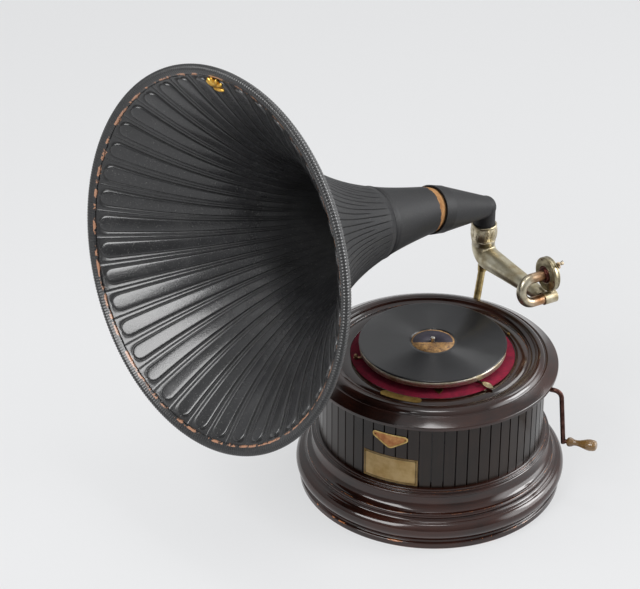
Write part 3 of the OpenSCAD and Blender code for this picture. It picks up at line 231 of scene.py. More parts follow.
# worn metal with a second tone where the attribute "field" is set: enamel, bare copper or grime
def twoTone(name, bright, dull, field, dark, rough, metal, patch):
    material, tree, shader = newMaterial(name)
    place = addNode(tree, "ShaderNodeTexCoord").outputs["Object"]
    mask = addNode(tree, "ShaderNodeAttribute", {"attribute_name": "field"})
    cloud = addNode(tree, "ShaderNodeTexNoise", {"Scale": patch, "Detail": 6.0, "Roughness": 0.65}, {"Vector": place})
    base = addNode(tree, "ShaderNodeValToRGB", {"stops": [(0.34, dull), (0.6, bright)]}, {"Fac": cloud.outputs["Fac"]})
    inner = addNode(tree, "ShaderNodeValToRGB", {"stops": [(0.34, dark), (0.62, field)]}, {"Fac": cloud.outputs["Fac"]})
    both = addNode(tree, "ShaderNodeMix", {"data_type": "RGBA"}, {"Factor": mask.outputs["Fac"], 6: base.outputs["Color"], 7: inner.outputs["Color"]})
    shine = addNode(tree, "ShaderNodeValToRGB", {"stops": [(0.3, rough + 0.15), (0.65, rough)]}, {"Fac": cloud.outputs["Fac"]})
    tree.links.new(both.outputs[2], shader.inputs["Base Color"])
    tree.links.new(shine.outputs["Color"], shader.inputs["Roughness"])
    shader.inputs["Metallic"].default_value = metal
    return material


# nickel plating rubbed to warm copper round two handled spots of the bent tube
def rubbedTube(name, spots):
    material, tree, shader = newMaterial(name)
    place = addNode(tree, "ShaderNodeTexCoord").outputs["Object"]
    cloud = addNode(tree, "ShaderNodeTexNoise", {"Scale": 45.0, "Detail": 6.0, "Roughness": 0.65}, {"Vector": place})
    near = [addNode(tree, "ShaderNodeVectorMath", {"operation": "DISTANCE", 1: spot}, {0: place}) for spot in spots]
    least = addNode(tree, "ShaderNodeMath", {"operation": "MINIMUM"}, {0: near[0].outputs["Value"], 1: near[1].outputs["Value"]})
    ragged = addNode(tree, "ShaderNodeMath", {"operation": "MULTIPLY_ADD", 1: 0.03}, {0: cloud.outputs["Fac"], 2: least.outputs[0]})
    rubbed = addNode(tree, "ShaderNodeMapRange", {"From Min": 0.022, "From Max": 0.046, "To Min": 1.0, "To Max": 0.0}, {"Value": ragged.outputs[0]})
    plate = addNode(tree, "ShaderNodeValToRGB", {"stops": [(0.3, "#8a806a"), (0.5, "#b3ab96"), (0.7, "#cdc8b8")]}, {"Fac": cloud.outputs["Fac"]})
    copper = addNode(tree, "ShaderNodeValToRGB", {"stops": [(0.3, "#6e4a30"), (0.65, "#b08058")]}, {"Fac": cloud.outputs["Fac"]})
    both = addNode(tree, "ShaderNodeMix", {"data_type": "RGBA"}, {"Factor": rubbed.outputs[0], 6: plate.outputs["Color"], 7: copper.outputs["Color"]})
    tree.links.new(both.outputs[2], shader.inputs["Base Color"])
    shader.inputs["Roughness"].default_value = 0.33
    shader.inputs["Metallic"].default_value = 1.0
    return material


# plain finish with a soft mottling, for hidden and small pieces
def mottled(name, low, high, rough, metal, scale):
    material, tree, shader = newMaterial(name)
    place = addNode(tree, "ShaderNodeTexCoord").outputs["Object"]
    cloud = addNode(tree, "ShaderNodeTexNoise", {"Scale": scale, "Detail": 5.0, "Roughness": 0.6}, {"Vector": place})
    tree.links.new(addNode(tree, "ShaderNodeValToRGB", {"stops": [(0.32, low), (0.68, high)]}, {"Fac": cloud.outputs["Fac"]}).outputs["Color"], shader.inputs["Base Color"])
    tree.links.new(addNode(tree, "ShaderNodeValToRGB", {"stops": [(0.3, rough + 0.1), (0.7, rough)]}, {"Fac": cloud.outputs["Fac"]}).outputs["Color"], shader.inputs["Roughness"])
    bump = addNode(tree, "ShaderNodeBump", {"Strength": 0.08, "Distance": 0.0003}, {"Height": cloud.outputs["Fac"]})
    tree.links.new(bump.outputs[0], shader.inputs["Normal"])
    shader.inputs["Metallic"].default_value = metal
    return material


finish = {
    "black_horn": blackPulp("lacqueredPulp", 0.34, 0.5, 0.0),
    "dull_horn": blackPulp("rubbedPulp", 0.34, 0.3, 1.0),
    "tan_pulp": mottled("barePulp", "#8f5f33", "#c4935c", 0.75, 0.0, 90.0),
    "lacquered_wood": lacquerWood("lacqueredBeech", "#130805", "#35180f", 0.33, 0.10, 0.15, False),
    "slat_wood": lacquerWood("lacqueredSlats", "#120b08", "#241811", 0.16, 0.26, 0.1, True),
    "plain_wood": mottled("bareBeech", "#5a3c24", "#7a5636", 0.7, 0.0, 40.0),
    "velvet": velvetPile(),
    "felt": mottled("greenFelt", "#12301c", "#1e4529", 0.95, 0.0, 400.0),
    "aged_brass": wornMetal("agedBrass", "#b39455", "#8f7440", "#5d4a2a", 0.38, 60.0),
    "bracket_brass": wornMetal("rubbedBrass", "#bfae84", "#9a8658", "#5f4f34", 0.28, 70.0),
    "worn_nickel": wornMetal("wornNickel", "#c9c0aa", "#a79b80", "#776a4e", 0.25, 40.0),
    "copper_nickel": wornMetal("rubbedNickel", "#c0b39a", "#a58a6c", "#8a5836", 0.27, 38.0),
    "motor_iron": mottled("blackEnamel", "#151515", "#232323", 0.4, 0.0, 50.0),
    "gear_brass": wornMetal("cutBrass", "#d8b568", "#b89550", "#7c6230", 0.26, 50.0),
    "shaft_steel": wornMetal("groundSteel", "#d9d6cf", "#bdb9b0", "#8d887d", 0.22, 80.0),
    "spring_steel": wornMetal("bluedSteel", "#5b6270", "#454b58", "#2c313b", 0.3, 60.0),
    "dark_steel": wornMetal("brownedSteel", "#5a3f38", "#432d28", "#2a1b18", 0.34, 60.0),
    "grip_wood": lacquerWood("varnishedBeech", "#4c3518", "#8d6a38", 0.0, 0.24, 0.6, False),
    "shellac": shellacDisc(),
    "label_paper": labelPaper(),
    "gasket_rubber": mottled("blackRubber", "#101010", "#1b1b1b", 0.7, 0.0, 60.0),
    "mica": mottled("cloudyMica", "#a89c80", "#cfc6ae", 0.25, 0.0, 120.0),
    "badge": twoTone("brassBadge", "#cdb274", "#a1834a", "#b98a58", "#97603c", 0.42, 0.8, 70.0),
    "tin_print": twoTone("printedTin", "#e2c48a", "#cda868", "#96784a", "#735a36", 0.45, 0.1, 50.0),
    "sound_metal": twoTone("tarnishedNickel", "#a49a80", "#6f6650", "#6a4038", "#301614", 0.26, 1.0, 80.0),
    "neck_metal": rubbedTube("rubbedNeck", [(0.1404, 0.1335, 0.306), (0.1394, 0.1431, 0.3485)]),
    "platter_metal": wornMetal("brushedNickel", "#ddd8cb", "#bfb59d", "#927f58", 0.46, 30.0),
    "arm_metal": wornMetal("oliveNickel", "#cbc5b0", "#b5ac92", "#8d7a5a", 0.3, 30.0),
    "gilt": wornMetal("giltBrass", "#e6bd62", "#c99a40", "#96702c", 0.3, 120.0),
}
print("finishes made:", len(finish))


def place(name, mesh, body, node, slot, matrix=None, smooth=True, look=None):
    if matrix is not None:
        bmesh.ops.transform(mesh, matrix=matrix, verts=mesh.verts)
    bmesh.ops.recalc_face_normals(mesh, faces=mesh.faces)
    for face in mesh.faces:
        face.smooth = smooth
    data = bpy.data.meshes.new(name)
    mesh.to_mesh(data)
    mesh.free()
    piece = bpy.data.objects.new(name, data)
    bpy.context.scene.collection.objects.link(piece)
    data.materials.append(finish[look or slot])
    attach(piece, body)
    if node:
        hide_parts(*([node] if isinstance(node, str) else node))
    return piece


# turns a closed section of (radius, height) points round Z and marks its outer arrises as worn
def lathe(points, steps, rub=1.0):
    mesh = bmesh.new()
    wear = mesh.verts.layers.float.new("wear")
    verts = [mesh.verts.new((r * mm, 0, z * mm)) for r, z in points]
    edges = [mesh.edges.new(pair) for pair in zip(verts, verts[1:] + verts[:1])]
    spread = sum(p[0] * q[1] - q[0] * p[1] for p, q in zip(points, points[1:] + points[:1]))
    for before, here, after, v in zip(points[-1:] + points[:-1], points, points[1:] + points[:1], verts):
        turn = math.atan2(after[1] - here[1], after[0] - here[0]) - math.atan2(here[1] - before[1], here[0] - before[0])
        turn = (turn + math.pi) % (2 * math.pi) - math.pi
        v[wear] = min(1.0, max(0.0, turn * math.copysign(1, spread) - 0.2) * rub)
    bmesh.ops.spin(mesh, geom=verts + edges, cent=(0, 0, 0), axis=(0, 0, 1), angle=2 * math.pi, steps=steps, use_merge=True)
    bmesh.ops.remove_doubles(mesh, verts=mesh.verts, dist=1e-6)
    return mesh


def arc(centre, r, start, end, count):
    return [(centre[0] + r * math.cos(math.radians(start + (end - start) * i / count)),
             centre[1] + r * math.sin(math.radians(start + (end - start) * i / count))) for i in range(count + 1)]


# case: base moulding, slats and top moulding
case = {"baseR": 231.5, "wallR": 192, "topR": 213, "height": 243, "wallLow": 101, "torus": 17, "torusZ": 34, "slats": 60, "gap": 2.0}
b, w, t, h = case["baseR"], case["wallR"], case["topR"], case["height"]
wz, tu = case["wallLow"], case["height"] - 16
coveLow, coveHigh = (b - 19.4, case["torusZ"] + 26.4), (w + 5.6, wz - 16.5)
baseLine = ([(b - 34, 0), (b - 7, 0), (b - 6, 1.2), (b - 6, 3), (b - 6, 8), (b - 6, 9.4), (b - 7, 10.6), (b - 10.2, 11), (b - 11, 12.2)]
            + arc((b - case["torus"], case["torusZ"]), case["torus"], -68, 55, 26)
            + [(b - 8.4, 48.2), (b - 9.2, 49.4), (b - 10.4, 50)] + arc((b - 22.5, 56), 5, -70, 40, 10)
            + [(coveHigh[0] + (coveLow[0] - coveHigh[0]) * (1 - math.sin(math.radians(a))),
                coveLow[1] + (coveHigh[1] - coveLow[1]) * (1 - math.cos(math.radians(a)))) for a in range(0, 91, 5)]
            + [(w + 5.6, wz - 12.2), (w + 8.6, wz - 11.7)] + arc((w + 10.3, wz - 8.9), 3, -70, 75, 10)
            + [(w + 8, wz - 6.7)] + arc((w + 7, wz - 4.9), 1.8, -40, 75, 6)
            + [(w + 5.6, wz - 4)] + arc((w + 4, wz - 2.3), 2.2, -20, 85, 6)
            + [(w, wz), (w - 5.1, wz), (w - 5.1, wz - 20), (w - 14, wz - 20), (w - 14, 10), (b - 34, 10)])
base = place("baseMoulding", lathe(baseLine, 240, 1.5), "case", "base_moulding", "lacquered_wood")
topLine = ([(t - 61, tu)] + arc((t - 1.2, tu + 1.2), 1.2, -85, -5, 5) + arc((t - 2, tu + 4.8), 2, 0, 65, 6)
           + [(t - 16.6, h - 1.6)] + arc((t - 18.6, h - 2.2), 1.8, 60, 130, 6) + [(t - 21.4, h - 1.6)]
           + arc((t - 33.4, h - 5.8), 12, 24, 112, 20) + [(t - 38.7, h + 4.5), (t - 39.6, h + 4.9)]
           + arc((t - 51.5, h + 15.7), 15.7, -46, -87, 12) + [(t - 51.5, h), (t - 51.5, h - 12), (t - 61, h - 12)])
top = place("topMoulding", lathe(topLine, 240, 0.6), "case", "top_moulding", "lacquered_wood")


# one slat with rounded front edges, copied round the wall
def addSlats():
    mesh = bmesh.new()
    half = math.pi / case["slats"]
    made = bmesh.ops.create_cube(mesh, size=1.0)["verts"]
    for v in made:
        reach = w if v.co.x > 0 else w - 6
        side = (reach * math.tan(half) - case["gap"] / 2) * (1 if v.co.y > 0 else -1)
        v.co = Vector((side, -reach, tu if v.co.z > 0 else wz)) * mm
    front = [e for e in mesh.edges if all(v.co.y < -(w - 1) * mm for v in e.verts) and abs(e.verts[0].co.z - e.verts[1].co.z) > 0.05]
    bmesh.ops.bevel(mesh, geom=front, offset=0.9 * mm, segments=2, profile=0.5, affect="EDGES", material=-1)
    bmesh.ops.spin(mesh, geom=mesh.verts[:] + mesh.edges[:] + mesh.faces[:], cent=(0, 0, 0), axis=(0, 0, 1),
                   angle=2 * math.pi - 2 * half, steps=case["slats"] - 1, use_duplicate=True)
    return mesh


place("caseSlats", addSlats(), "case", "case_slats", "lacquered_wood", smooth=False, look="slat_wood")
boardLine = [(9, h - 12), (t - 51.8, h - 12), (t - 51.8, h - 0.3), (t - 52.1, h), (139.7, h), (139.2, h - 0.4), (139.2, h - 2), (9, h - 2)]
place("motorBoard", lathe(boardLine, 180, 0.4), "case", "motor_board", "lacquered_wood")
velvetLine = [(11, h - 1.9), (138.9, h - 1.9), (138.9, h - 0.7), (138.3, h - 0.4), (12, h - 0.4), (11, h - 0.8)]
velvet = place("velvetDisc", lathe(velvetLine, 120), "case", "velvet_disc", "velvet")
print("case made")

# turntable: platter, felt, record and label
disc = {"recordR": 125, "top": 266, "thick": 2.2, "labelR": 36.5, "platterR": 124}
pt = disc["top"] - disc["thick"] - 0.9
platterLine = ([(4.15, pt), (122, pt)] + arc((122, pt - 2), 2, 80, 0, 5)
               + [(124, pt - 5.6), (123.4, pt - 6), (123.4, pt - 10.2), (122.8, pt - 10.8), (121, pt - 10.8), (120, pt - 3),
                  (14, pt - 3), (11, pt - 14), (4.15, pt - 14)])


def addPlatter():
    mesh = lathe(platterLine, 480)
    for v in mesh.verts:  # knurled lower band
        if v.co.xy.length > 0.1231 and v.co.z < (pt - 5.8) * mm:
            n = round(math.atan2(v.co.y, v.co.x) / (2 * math.pi) * 480)
            v.co.xy *= 1.003 if n % 2 else 0.999
    return mesh


place("platterPressing", addPlatter(), "turntable", "platter", "worn_nickel", look="platter_metal")
feltLine = [(4.8, pt + 0.02), (120.9, pt + 0.02), (120.9, pt + 0.7), (120.5, pt + 0.88), (5.2, pt + 0.88), (4.8, pt + 0.7)]
felt = place("feltDisc", lathe(feltLine, 120), "turntable", "platter_felt", "felt")
rt, rr = disc["top"], disc["recordR"]
recordLine = [(3.65, rt - 2.2), (rr - 0.6, rt - 2.2), (rr, rt - 1.6), (rr, rt - 0.5), (rr - 0.5, rt), (rr - 3, rt), (rr - 4, rt - 0.15),
              (disc["labelR"] + 6, rt - 0.15), (disc["labelR"] + 5, rt), (disc["labelR"] + 0.02, rt), (disc["labelR"] + 0.02, rt - 0.15), (3.65, rt - 0.15)]
place("shellacRecord", lathe(recordLine, 240), "turntable", "record", "shellac")
labelLine = [(3.9, rt - 0.15), (disc["labelR"], rt - 0.15), (disc["labelR"], rt - 0.02), (3.9, rt - 0.02)]
place("recordLabel", lathe(labelLine, 96), "turntable", "record_label", "label_paper")
print("turntable made")

# horn: neck, torn joint, fluted bell and ridged rim
horn = {"pivotY": 245.4496, "cornerZ": 400, "turn": -24.5, "limbRise": 18.1, "bellRise": 9.9, "limbLen": 151, "jointR": 40, "mouthR": 309,
        "length": 487, "neckLen": 136, "taper": 0.13, "power": 2.8, "wall": 4, "rimBack": 8}
limb = (Matrix.Translation((0, horn["pivotY"] * mm, horn["cornerZ"] * mm)) @ Matrix.Rotation(math.radians(horn["turn"]), 4, "Z")
        @ Matrix.Rotation(math.radians(90 - horn["limbRise"]), 4, "X"))
bell = limb @ Matrix.Translation((0, 0, horn["limbLen"] * mm)) @ Matrix.Rotation(math.radians(horn["limbRise"] - horn["bellRise"]), 4, "X")
gain = horn["mouthR"] - horn["jointR"] - horn["taper"] * horn["length"]
rimStart = horn["length"] - horn["rimBack"]


def flare(s):
    return horn["jointR"] + horn["taper"] * s + gain * (max(s, 0) / horn["length"]) ** horn["power"]


def bore(s):
    return flare(s) - horn["wall"] * (1 + 0.5 * (s / horn["length"]) ** 2)


# bell: flat-topped tongues with round ends, a thin groove round each and a scored line between two; scored lines
# outside. Grooves, scored lines and the deep throat carry painted shade
flute = {"count": 39, "half": 0.31, "rise": 3.0, "end": 4.0, "round": 9.3, "start": 200, "full": 262, "groove": 0.9, "line": 0.7,
         "longLine": 146, "shortLine": 203, "cols": 22,
         "spot": (0, 0.12, 0.22, 0.275, 0.3, 0.312, 0.324, 0.342, 0.42, 0.478, 0.491, 0.5),
         "height": (1, 0.96, 0.86, 0.7, 0.42, 0, -1, 0, 0, 0, -0.5, -1), "dark": 290, "black": 150,
         "paintedShade": (0, 0, 0, 0, 0.2, 0.85, 1, 0.4, 0, 0.1, 0.75, 1),
         "outer": (0.14, 0.2, 0.26, 0.3, 0.34, 0.37)}


def fluteSpot(k, past):
    edge = math.sqrt(max(0.0, flute["half"] ** 2 - past * past))
    spot = flute["spot"][k]
    if k <= 5:
        return spot * max(edge / flute["half"], 0.06) if past < 0.36 else spot
    if k <= 7:
        return max(math.sqrt(max(0.0, spot * spot - past * past)), 0.008 * k - 0.026) if past < 0.36 else spot
    return spot


def addBell():
    low, high = horn["neckLen"], rimStart
    tip = high - flute["end"]
    bend = tip - flute["round"]
    inner = [low + (bend - low) * i / 30 for i in range(30)] + [bend + flute["round"] * math.sin(math.pi / 18 * i) for i in range(10)]
    inner += [tip + 0.4, tip + 1.0, tip + 2.4, high]
    outer = [low + (high - low) * i / 28 for i in range(29)]
    total = flute["count"] * flute["cols"]
    mesh = lathe([(flare(s), s) for s in outer] + [(bore(s), s) for s in reversed(inner)], total)
    wear = mesh.verts.layers.float["wear"]
    paintedShade = mesh.verts.layers.float.new("paintedShade")
    dull = mesh.verts.layers.float.new("dull")
    for v in mesh.verts:
        s, r = v.co.z / mm, v.co.xy.length / mm
        n = round(math.atan2(v.co.y, v.co.x) / (2 * math.pi) * total) % total
        k, side, middle = n % flute["cols"], 1, n // flute["cols"]
        if k > 11:
            k, side, middle = flute["cols"] - k, -1, middle + 1
        slope = flare(s + 0.5) - flare(s - 0.5)
        lean = math.sqrt(1 + slope * slope)
        if r < (flare(s) + bore(s)) / 2:
            past = max(0.0, (s - bend) / flute["round"]) * flute["half"]
            grow = min(1.0, max(0.0, (s - flute["start"]) / (flute["full"] - flute["start"])))
            score = min(1.0, max(0.0, (s - 160) / 80)) * (1.0 if s < high - 1 else 0.0)
            rise = flute["rise"] * r / horn["mouthR"] * grow * grow * (3 - 2 * grow)
            off, lift = fluteSpot(k, past), flute["height"][k]
            if k <= 5:
                lift *= rise * min(1.0, 1.5 * math.sqrt(max(0.0, 1 - (past / flute["half"]) ** 2))) ** 0.5 if past < 0.36 else 0.0
            elif k <= 7:
                lift *= flute["groove"] * score if past < 0.342 else 0.0
            else:
                lift *= flute["line"] * score
            # painted shade in the grooves round the tongues and in the scored lines between them
            shadeValue = flute["paintedShade"][k] * score * (1.0 if k > 7 or past < 0.35 else 0.0)
            # painted shade deepening towards the throat, from flute dark down to flute black
            shadeValue = max(shadeValue, 0.9 * min(1.0, max(0.0, (flute["dark"] - s) / (flute["dark"] - flute["black"]))))
            v[wear] = max(0.0, (s - high + 5) / 5)
        else:
            period = 2 * math.pi * r / flute["count"]
            off = (0, 0.6 / period, 1.3 / period)[k] if k < 3 else 0.5 - (1.3 / period, 0.6 / period, 0)[k - 9] if k > 8 else flute["outer"][k - 3]
            begin = flute["shortLine"] if k < 3 else flute["longLine"]
            score = min(1.0, max(0.0, (s - begin) / 10)) * (1.0 if s < high - 1 else 0.0)
            near = {0: 1.0, 1: 0.6, 10: 0.6, 11: 1.0}.get(k, 0.0)
            # painted shade in the scored lines outside
            lift, shadeValue = near * score * 0.8, near * score
            v[wear] = 0.2 * max(0.0, (s - high + 5) / 5)
            v[dull] = 1.0
        turn = 2 * math.pi / flute["count"] * (middle + 0.5 + side * off)
        reach = r - lift / lean
        v.co = Vector((math.cos(turn) * reach, math.sin(turn) * reach, s + (lift * slope / lean if s < high - 0.5 else 0))) * mm
        v[paintedShade] = shadeValue
    return mesh


place("flutedBell", addBell(), "horn", ["bell_throat", "bell_middle", "bell_flare"], "black_horn", bell)

# rim band: fine cross ridges over the front, the rolled edge and the skirt, torn along its inner edge; painted shade in
# the valleys between ridges
rim = {"ridges": 400, "deep": 1.6, "roll": 6, "skirt": 17, "draw": 5, "step": 1.2, "torn": 1.8}


def addRim():
    m, end = horn["mouthR"], horn["length"]
    inner, front = (bore(rimStart) - rim["step"], rimStart + rim["step"]), (m - rim["roll"] * 1.4, end)
    line = [inner, (bore(rimStart), rimStart), (flare(rimStart), rimStart), (m - rim["draw"] - 2, end - rim["skirt"] - 1), (m - rim["draw"], end - rim["skirt"]), (m - 0.6, end - 9)]
    line += arc((m - rim["roll"], end - rim["roll"]), rim["roll"], 0, 90, 7) + [front]
    line += [(front[0] + (inner[0] - front[0]) * i / 6, front[1] + (inner[1] - front[1]) * i / 6) for i in range(1, 6)]
    mesh = lathe(line, rim["ridges"] * 4)
    wear = mesh.verts.layers.float["wear"]
    paintedShade = mesh.verts.layers.float.new("paintedShade")
    for v in mesh.verts:
        turn = math.atan2(v.co.y, v.co.x)
        n = round(turn / (2 * math.pi) * rim["ridges"] * 4) % 4
        r, s = v.co.xy.length / mm, v.co.z / mm
        around = Vector((math.cos(turn), math.sin(turn), 0))
        toFront = min(1.0, max(0.0, (r - inner[0] - 1.5) / 5)) if s > rimStart + 0.5 else float(s > end - rim["skirt"] - 2)
        sunk = rim["deep"] * (0, 0.3, 1, 0.3)[n] * toFront
        v.co.xy *= 1 - sunk * 0.75 / r
        v.co.z -= sunk * 0.75 * mm if s > end - 5 or r < m - 6 else 0
        rough = noise.noise(around * 26) + 0.5 * noise.noise(around * 70 + Vector((0, 0, 70)))
        if r < inner[0] + 0.6 and s > rimStart + 0.6:
            v.co.xy *= 1 + rim["torn"] * rough / r
            v.co.z += rim["torn"] * rough * 0.7 * mm
        v[wear] = 1.1 if r < inner[0] + 3.4 and s > rimStart + 0.5 else (0.45 if s > end - 3 else 0.2)
        # painted shade in the valleys between the ridges
        v[paintedShade] = (0, 0.25, 1.0, 0.25)[n] * toFront
    return mesh


place("ridgedRim", addRim(), "horn", "horn_rim", "black_horn", bell)

# gilt shell on the band: five lobes over a bar, lying on the inner wall
shell = {"turn": 99, "s": 467, "lobes": 5, "spread": 30, "long": 10.5, "wide": 4.4, "thick": 3.8, "bar": (12.5, 4.0, 3.4), "barAt": -6, "raised": 3.0}


def addShell():
    mesh = bmesh.new()
    for i in range(shell["lobes"]):
        lobe = Matrix.Rotation(math.radians(shell["spread"] * (i - 2)), 4, "Z") @ Matrix.Translation((0, shell["long"] * mm, 0))
        lobe = lobe @ Matrix.Diagonal((shell["wide"] * mm, shell["long"] * mm, shell["thick"] * mm, 1))
        bmesh.ops.create_uvsphere(mesh, u_segments=20, v_segments=12, radius=1.0, matrix=lobe)
    bar = Matrix.Translation((0, shell["barAt"] * mm, 0)) @ Matrix.Diagonal([size * mm for size in shell["bar"]] + [1])
    bmesh.ops.create_uvsphere(mesh, u_segments=24, v_segments=12, radius=1.0, matrix=bar)
    return mesh


c, d, s = math.cos(math.radians(shell["turn"])), math.sin(math.radians(shell["turn"])), shell["s"]
k = bore(s + 0.5) - bore(s - 0.5)
wall = Matrix(((d, k * c, -c, 0), (-c, k * d, -d, 0), (0, 1, k, 0), (0, 0, 0, 1))).normalized()
wall.translation = (Vector((bore(s) * c, bore(s) * d, s)) + wall.col[2].xyz * shell["raised"]) * mm
place("giltShell", addShell(), "horn", "horn_ornament", "gilt", bell @ wall)

# neck: smooth cone with a bead before the flutes, its lacquer torn back to tan pulp at the joint
joint = {"bare": 7.0, "side": 30, "ragged": 3.2, "tenon": 12, "under": 0.35}


def tornEdge(turn):
    rough = noise.noise(Vector((math.cos(turn), math.sin(turn), 0)) * 5) + 0.6 * noise.noise(Vector((math.cos(turn), math.sin(turn), 2)) * 17)
    return joint["bare"] * (0.5 + 0.5 * math.cos(turn - math.radians(joint["side"]))) + joint["ragged"] * max(-0.4, rough)


def addNeck():
    line = [(flare(0) - 0.5, 0), (flare(0.4), 0.4)] + [(flare(s), s) for s in (1.5, 3, 6, 10, 15, 20)] + [(flare(s), s) for s in range(26, 124, 7)]
    line += [(flare(126), 126), (flare(127) - 0.5, 127), (flare(128), 128), (flare(130) + 0.9, 130), (flare(132), 132), (flare(133) - 0.5, 133), (flare(136), 136)]
    line += [(bore(s), s) for s in (136, 120, 100, 80, 60, 40, 20, 10, 0)]
    mesh = lathe(line, 192)
    wear = mesh.verts.layers.float["wear"]
    for v in mesh.verts:
        s = v.co.z / mm
        if s < 20:
            edge = max(0.0, tornEdge(math.atan2(v.co.y, v.co.x)))
            moved = edge + s * (20 - edge) / 20
            v.co.xy *= 1 + horn["taper"] * (moved - s) * mm / v.co.xy.length
            v.co.z = moved * mm
        v[wear] = max(0.0, 1 - s / 3) * 0.9
    return mesh


def addTenon():
    low = joint["under"]
    line = [(horn["jointR"] - 3 - low, -joint["tenon"]), (horn["jointR"] - 0.5 - low, -0.2)] + [(flare(s) - low, s) for s in (0.5, 4, 8, 13)]
    line += [(bore(13) + 0.4, 13), (horn["jointR"] - 3.4, 0), (horn["jointR"] - 4.4, -joint["tenon"])]
    mesh = lathe(line, 192)
    for v in mesh.verts:
        v.co.xy *= 1 + 0.3 * mm * noise.noise(v.co * 700) / v.co.xy.length
    return mesh


place("hornNeck", addNeck(), "horn", "horn_neck", "black_horn", bell, look="dull_horn")
place("bareTenon", addTenon(), "horn", "joint_band", "tan_pulp", bell)
print("horn made")

# collar: barrel ring with leaves in low relief
collar = {"pivotY": 245.4496, "foot": 328, "footR": 20.5, "low": 335.5, "high": 32.5, "shelf": 342, "r": 23.25, "bore": 19.05,
          "leaves": 9, "relief": 1.4}


def leafHeight(u, v):
    middle = 0.5 + 0.34 * (v - 0.5)
    width = 0.44 * max(0.02, math.sin(math.pi * (0.12 + 0.83 * v))) ** 0.8
    off = (u - middle) / width
    if abs(off) > 1:
        return 0.0
    vein = 0.5 + 0.5 * math.cos(2 * math.pi * (5 * v + 1.6 * abs(off)))
    return (1 - off * off) ** 0.5 * (0.62 + 0.38 * vein) - (0.35 if abs(off) < 0.08 else 0)


def addCollar():
    low, high, r, hole = collar["low"], collar["high"], collar["r"], collar["bore"]
    line = [(hole, collar["foot"]), (collar["footR"], collar["foot"]), (collar["footR"], low), (r - 2, low), (r - 1.8, low + 1.5)]
    line += [(r - 40 + 40 * math.cos(math.asin(max(-1, min(1, (z - high / 2) / 40)))), low + z) for z in [2.5 + (high - 6.5) * i / 26 for i in range(27)]]
    line += [(r - 1.6, low + high - 3.6), (r - 0.6, low + high - 2.6), (r - 0.5, low + high - 1), (r - 1.4, low + high), (hole + 0.5, low + high),
             (hole, low + high - 0.6), (hole, collar["shelf"] + 2), (hole - 3.5, collar["shelf"] + 2), (hole - 3.5, collar["shelf"]), (hole, collar["shelf"])]
    mesh = lathe(line, 198)
    for v in mesh.verts:
        z, reach = v.co.z / mm - low, v.co.xy.length / mm
        if reach > r - 2.7 and 3 < z < high - 4.2:
            u = math.atan2(v.co.y, v.co.x) / (2 * math.pi) * collar["leaves"] % 1.0
            v.co.xy *= 1 + (leafHeight(u, (z - 3) / (high - 7.2)) * collar["relief"] - 0.75) / reach
    return mesh


place("leafCollar", addCollar(), "case", "horn_collar", "worn_nickel", Matrix.Translation((0, collar["pivotY"] * mm, 0)))
print("collar made")

# sheet on the front wall: bent tinplate with a plain darker frame line
sheetPlate = {"half": 48, "low": 102.5, "high": 52, "r": 192.25, "thick": 0.8, "frame": 3.6}


def addSheetPlate():
    mesh = bmesh.new()
    bmesh.ops.create_grid(mesh, x_segments=96, y_segments=52, size=0.5)
    grown = bmesh.ops.extrude_face_region(mesh, geom=mesh.faces[:])["geom"]
    front = {v for v in grown if isinstance(v, bmesh.types.BMVert)}
    field = mesh.verts.layers.float.new("field")
    for v in mesh.verts:
        x, z = v.co.x * 2 * sheetPlate["half"], (v.co.y + 0.5) * sheetPlate["high"]
        near = min(sheetPlate["half"] - abs(x), z, sheetPlate["high"] - z)
        framed = abs(near - sheetPlate["frame"]) < 0.7 or near < 1.4
        lift = sheetPlate["thick"] - (0.1 if framed else 0.25) if v in front else 0
        turn = math.asin(x / sheetPlate["r"])
        reach = sheetPlate["r"] + lift
        v[field] = 1.0 if framed else 0.35 if near < sheetPlate["frame"] else 0.0
        v.co = Vector((math.sin(turn) * reach, -math.cos(turn) * reach, sheetPlate["low"] + z)) * mm
    return mesh


place("sheetPlate", addSheetPlate(), "case", "side_plate", "aged_brass", look="tin_print")

# fan badge: straight upper edge, round ears and point, a raised border round a reddish field
fan = {"half": 31, "z": 185, "low": 14, "ear": 6, "earZ": 7, "point": 10, "r": 192.27, "thick": 0.88, "border": 2.4, "sunk": 0.35}


def addFan():
    mesh = bmesh.new()
    field = mesh.verts.layers.float.new("field")
    line = arc((fan["half"] - fan["ear"], fan["earZ"]), fan["ear"], -60, 90, 10) + arc((fan["ear"] - fan["half"], fan["earZ"]), fan["ear"], 90, 240, 10)
    line += arc((0, fan["point"] - fan["low"]), fan["point"], 240, 300, 8)
    back = mesh.faces.new([mesh.verts.new((x * mm, 0, z * mm)) for x, z in line])
    grown = bmesh.ops.extrude_face_region(mesh, geom=[back], use_keep_orig=True)["geom"]
    for v in grown:
        if isinstance(v, bmesh.types.BMVert):
            v.co.y = -fan["thick"] * mm
    face = [f for f in grown if isinstance(f, bmesh.types.BMFace)]
    bmesh.ops.inset_region(mesh, faces=face, thickness=fan["border"] * mm, use_even_offset=True)
    bmesh.ops.inset_region(mesh, faces=face, thickness=0.3 * mm, use_even_offset=True)
    for v in face[0].verts:
        v[field] = 1.0
        v.co.y += fan["sunk"] * mm
    for x in range(-28, 29, 4):
        bmesh.ops.bisect_plane(mesh, geom=mesh.verts[:] + mesh.edges[:] + mesh.faces[:], plane_co=(x * mm, 0, 0), plane_no=(1, 0, 0))
    for v in mesh.verts:
        turn, reach = math.asin(v.co.x / (fan["r"] * mm)), fan["r"] * mm - v.co.y
        v.co = Vector((math.sin(turn) * reach, -math.cos(turn) * reach, v.co.z + fan["z"] * mm))
    return mesh


place("fanBadge", addFan(), "case", "fan_badge", "aged_brass", smooth=False, look="badge")
print("plates made")

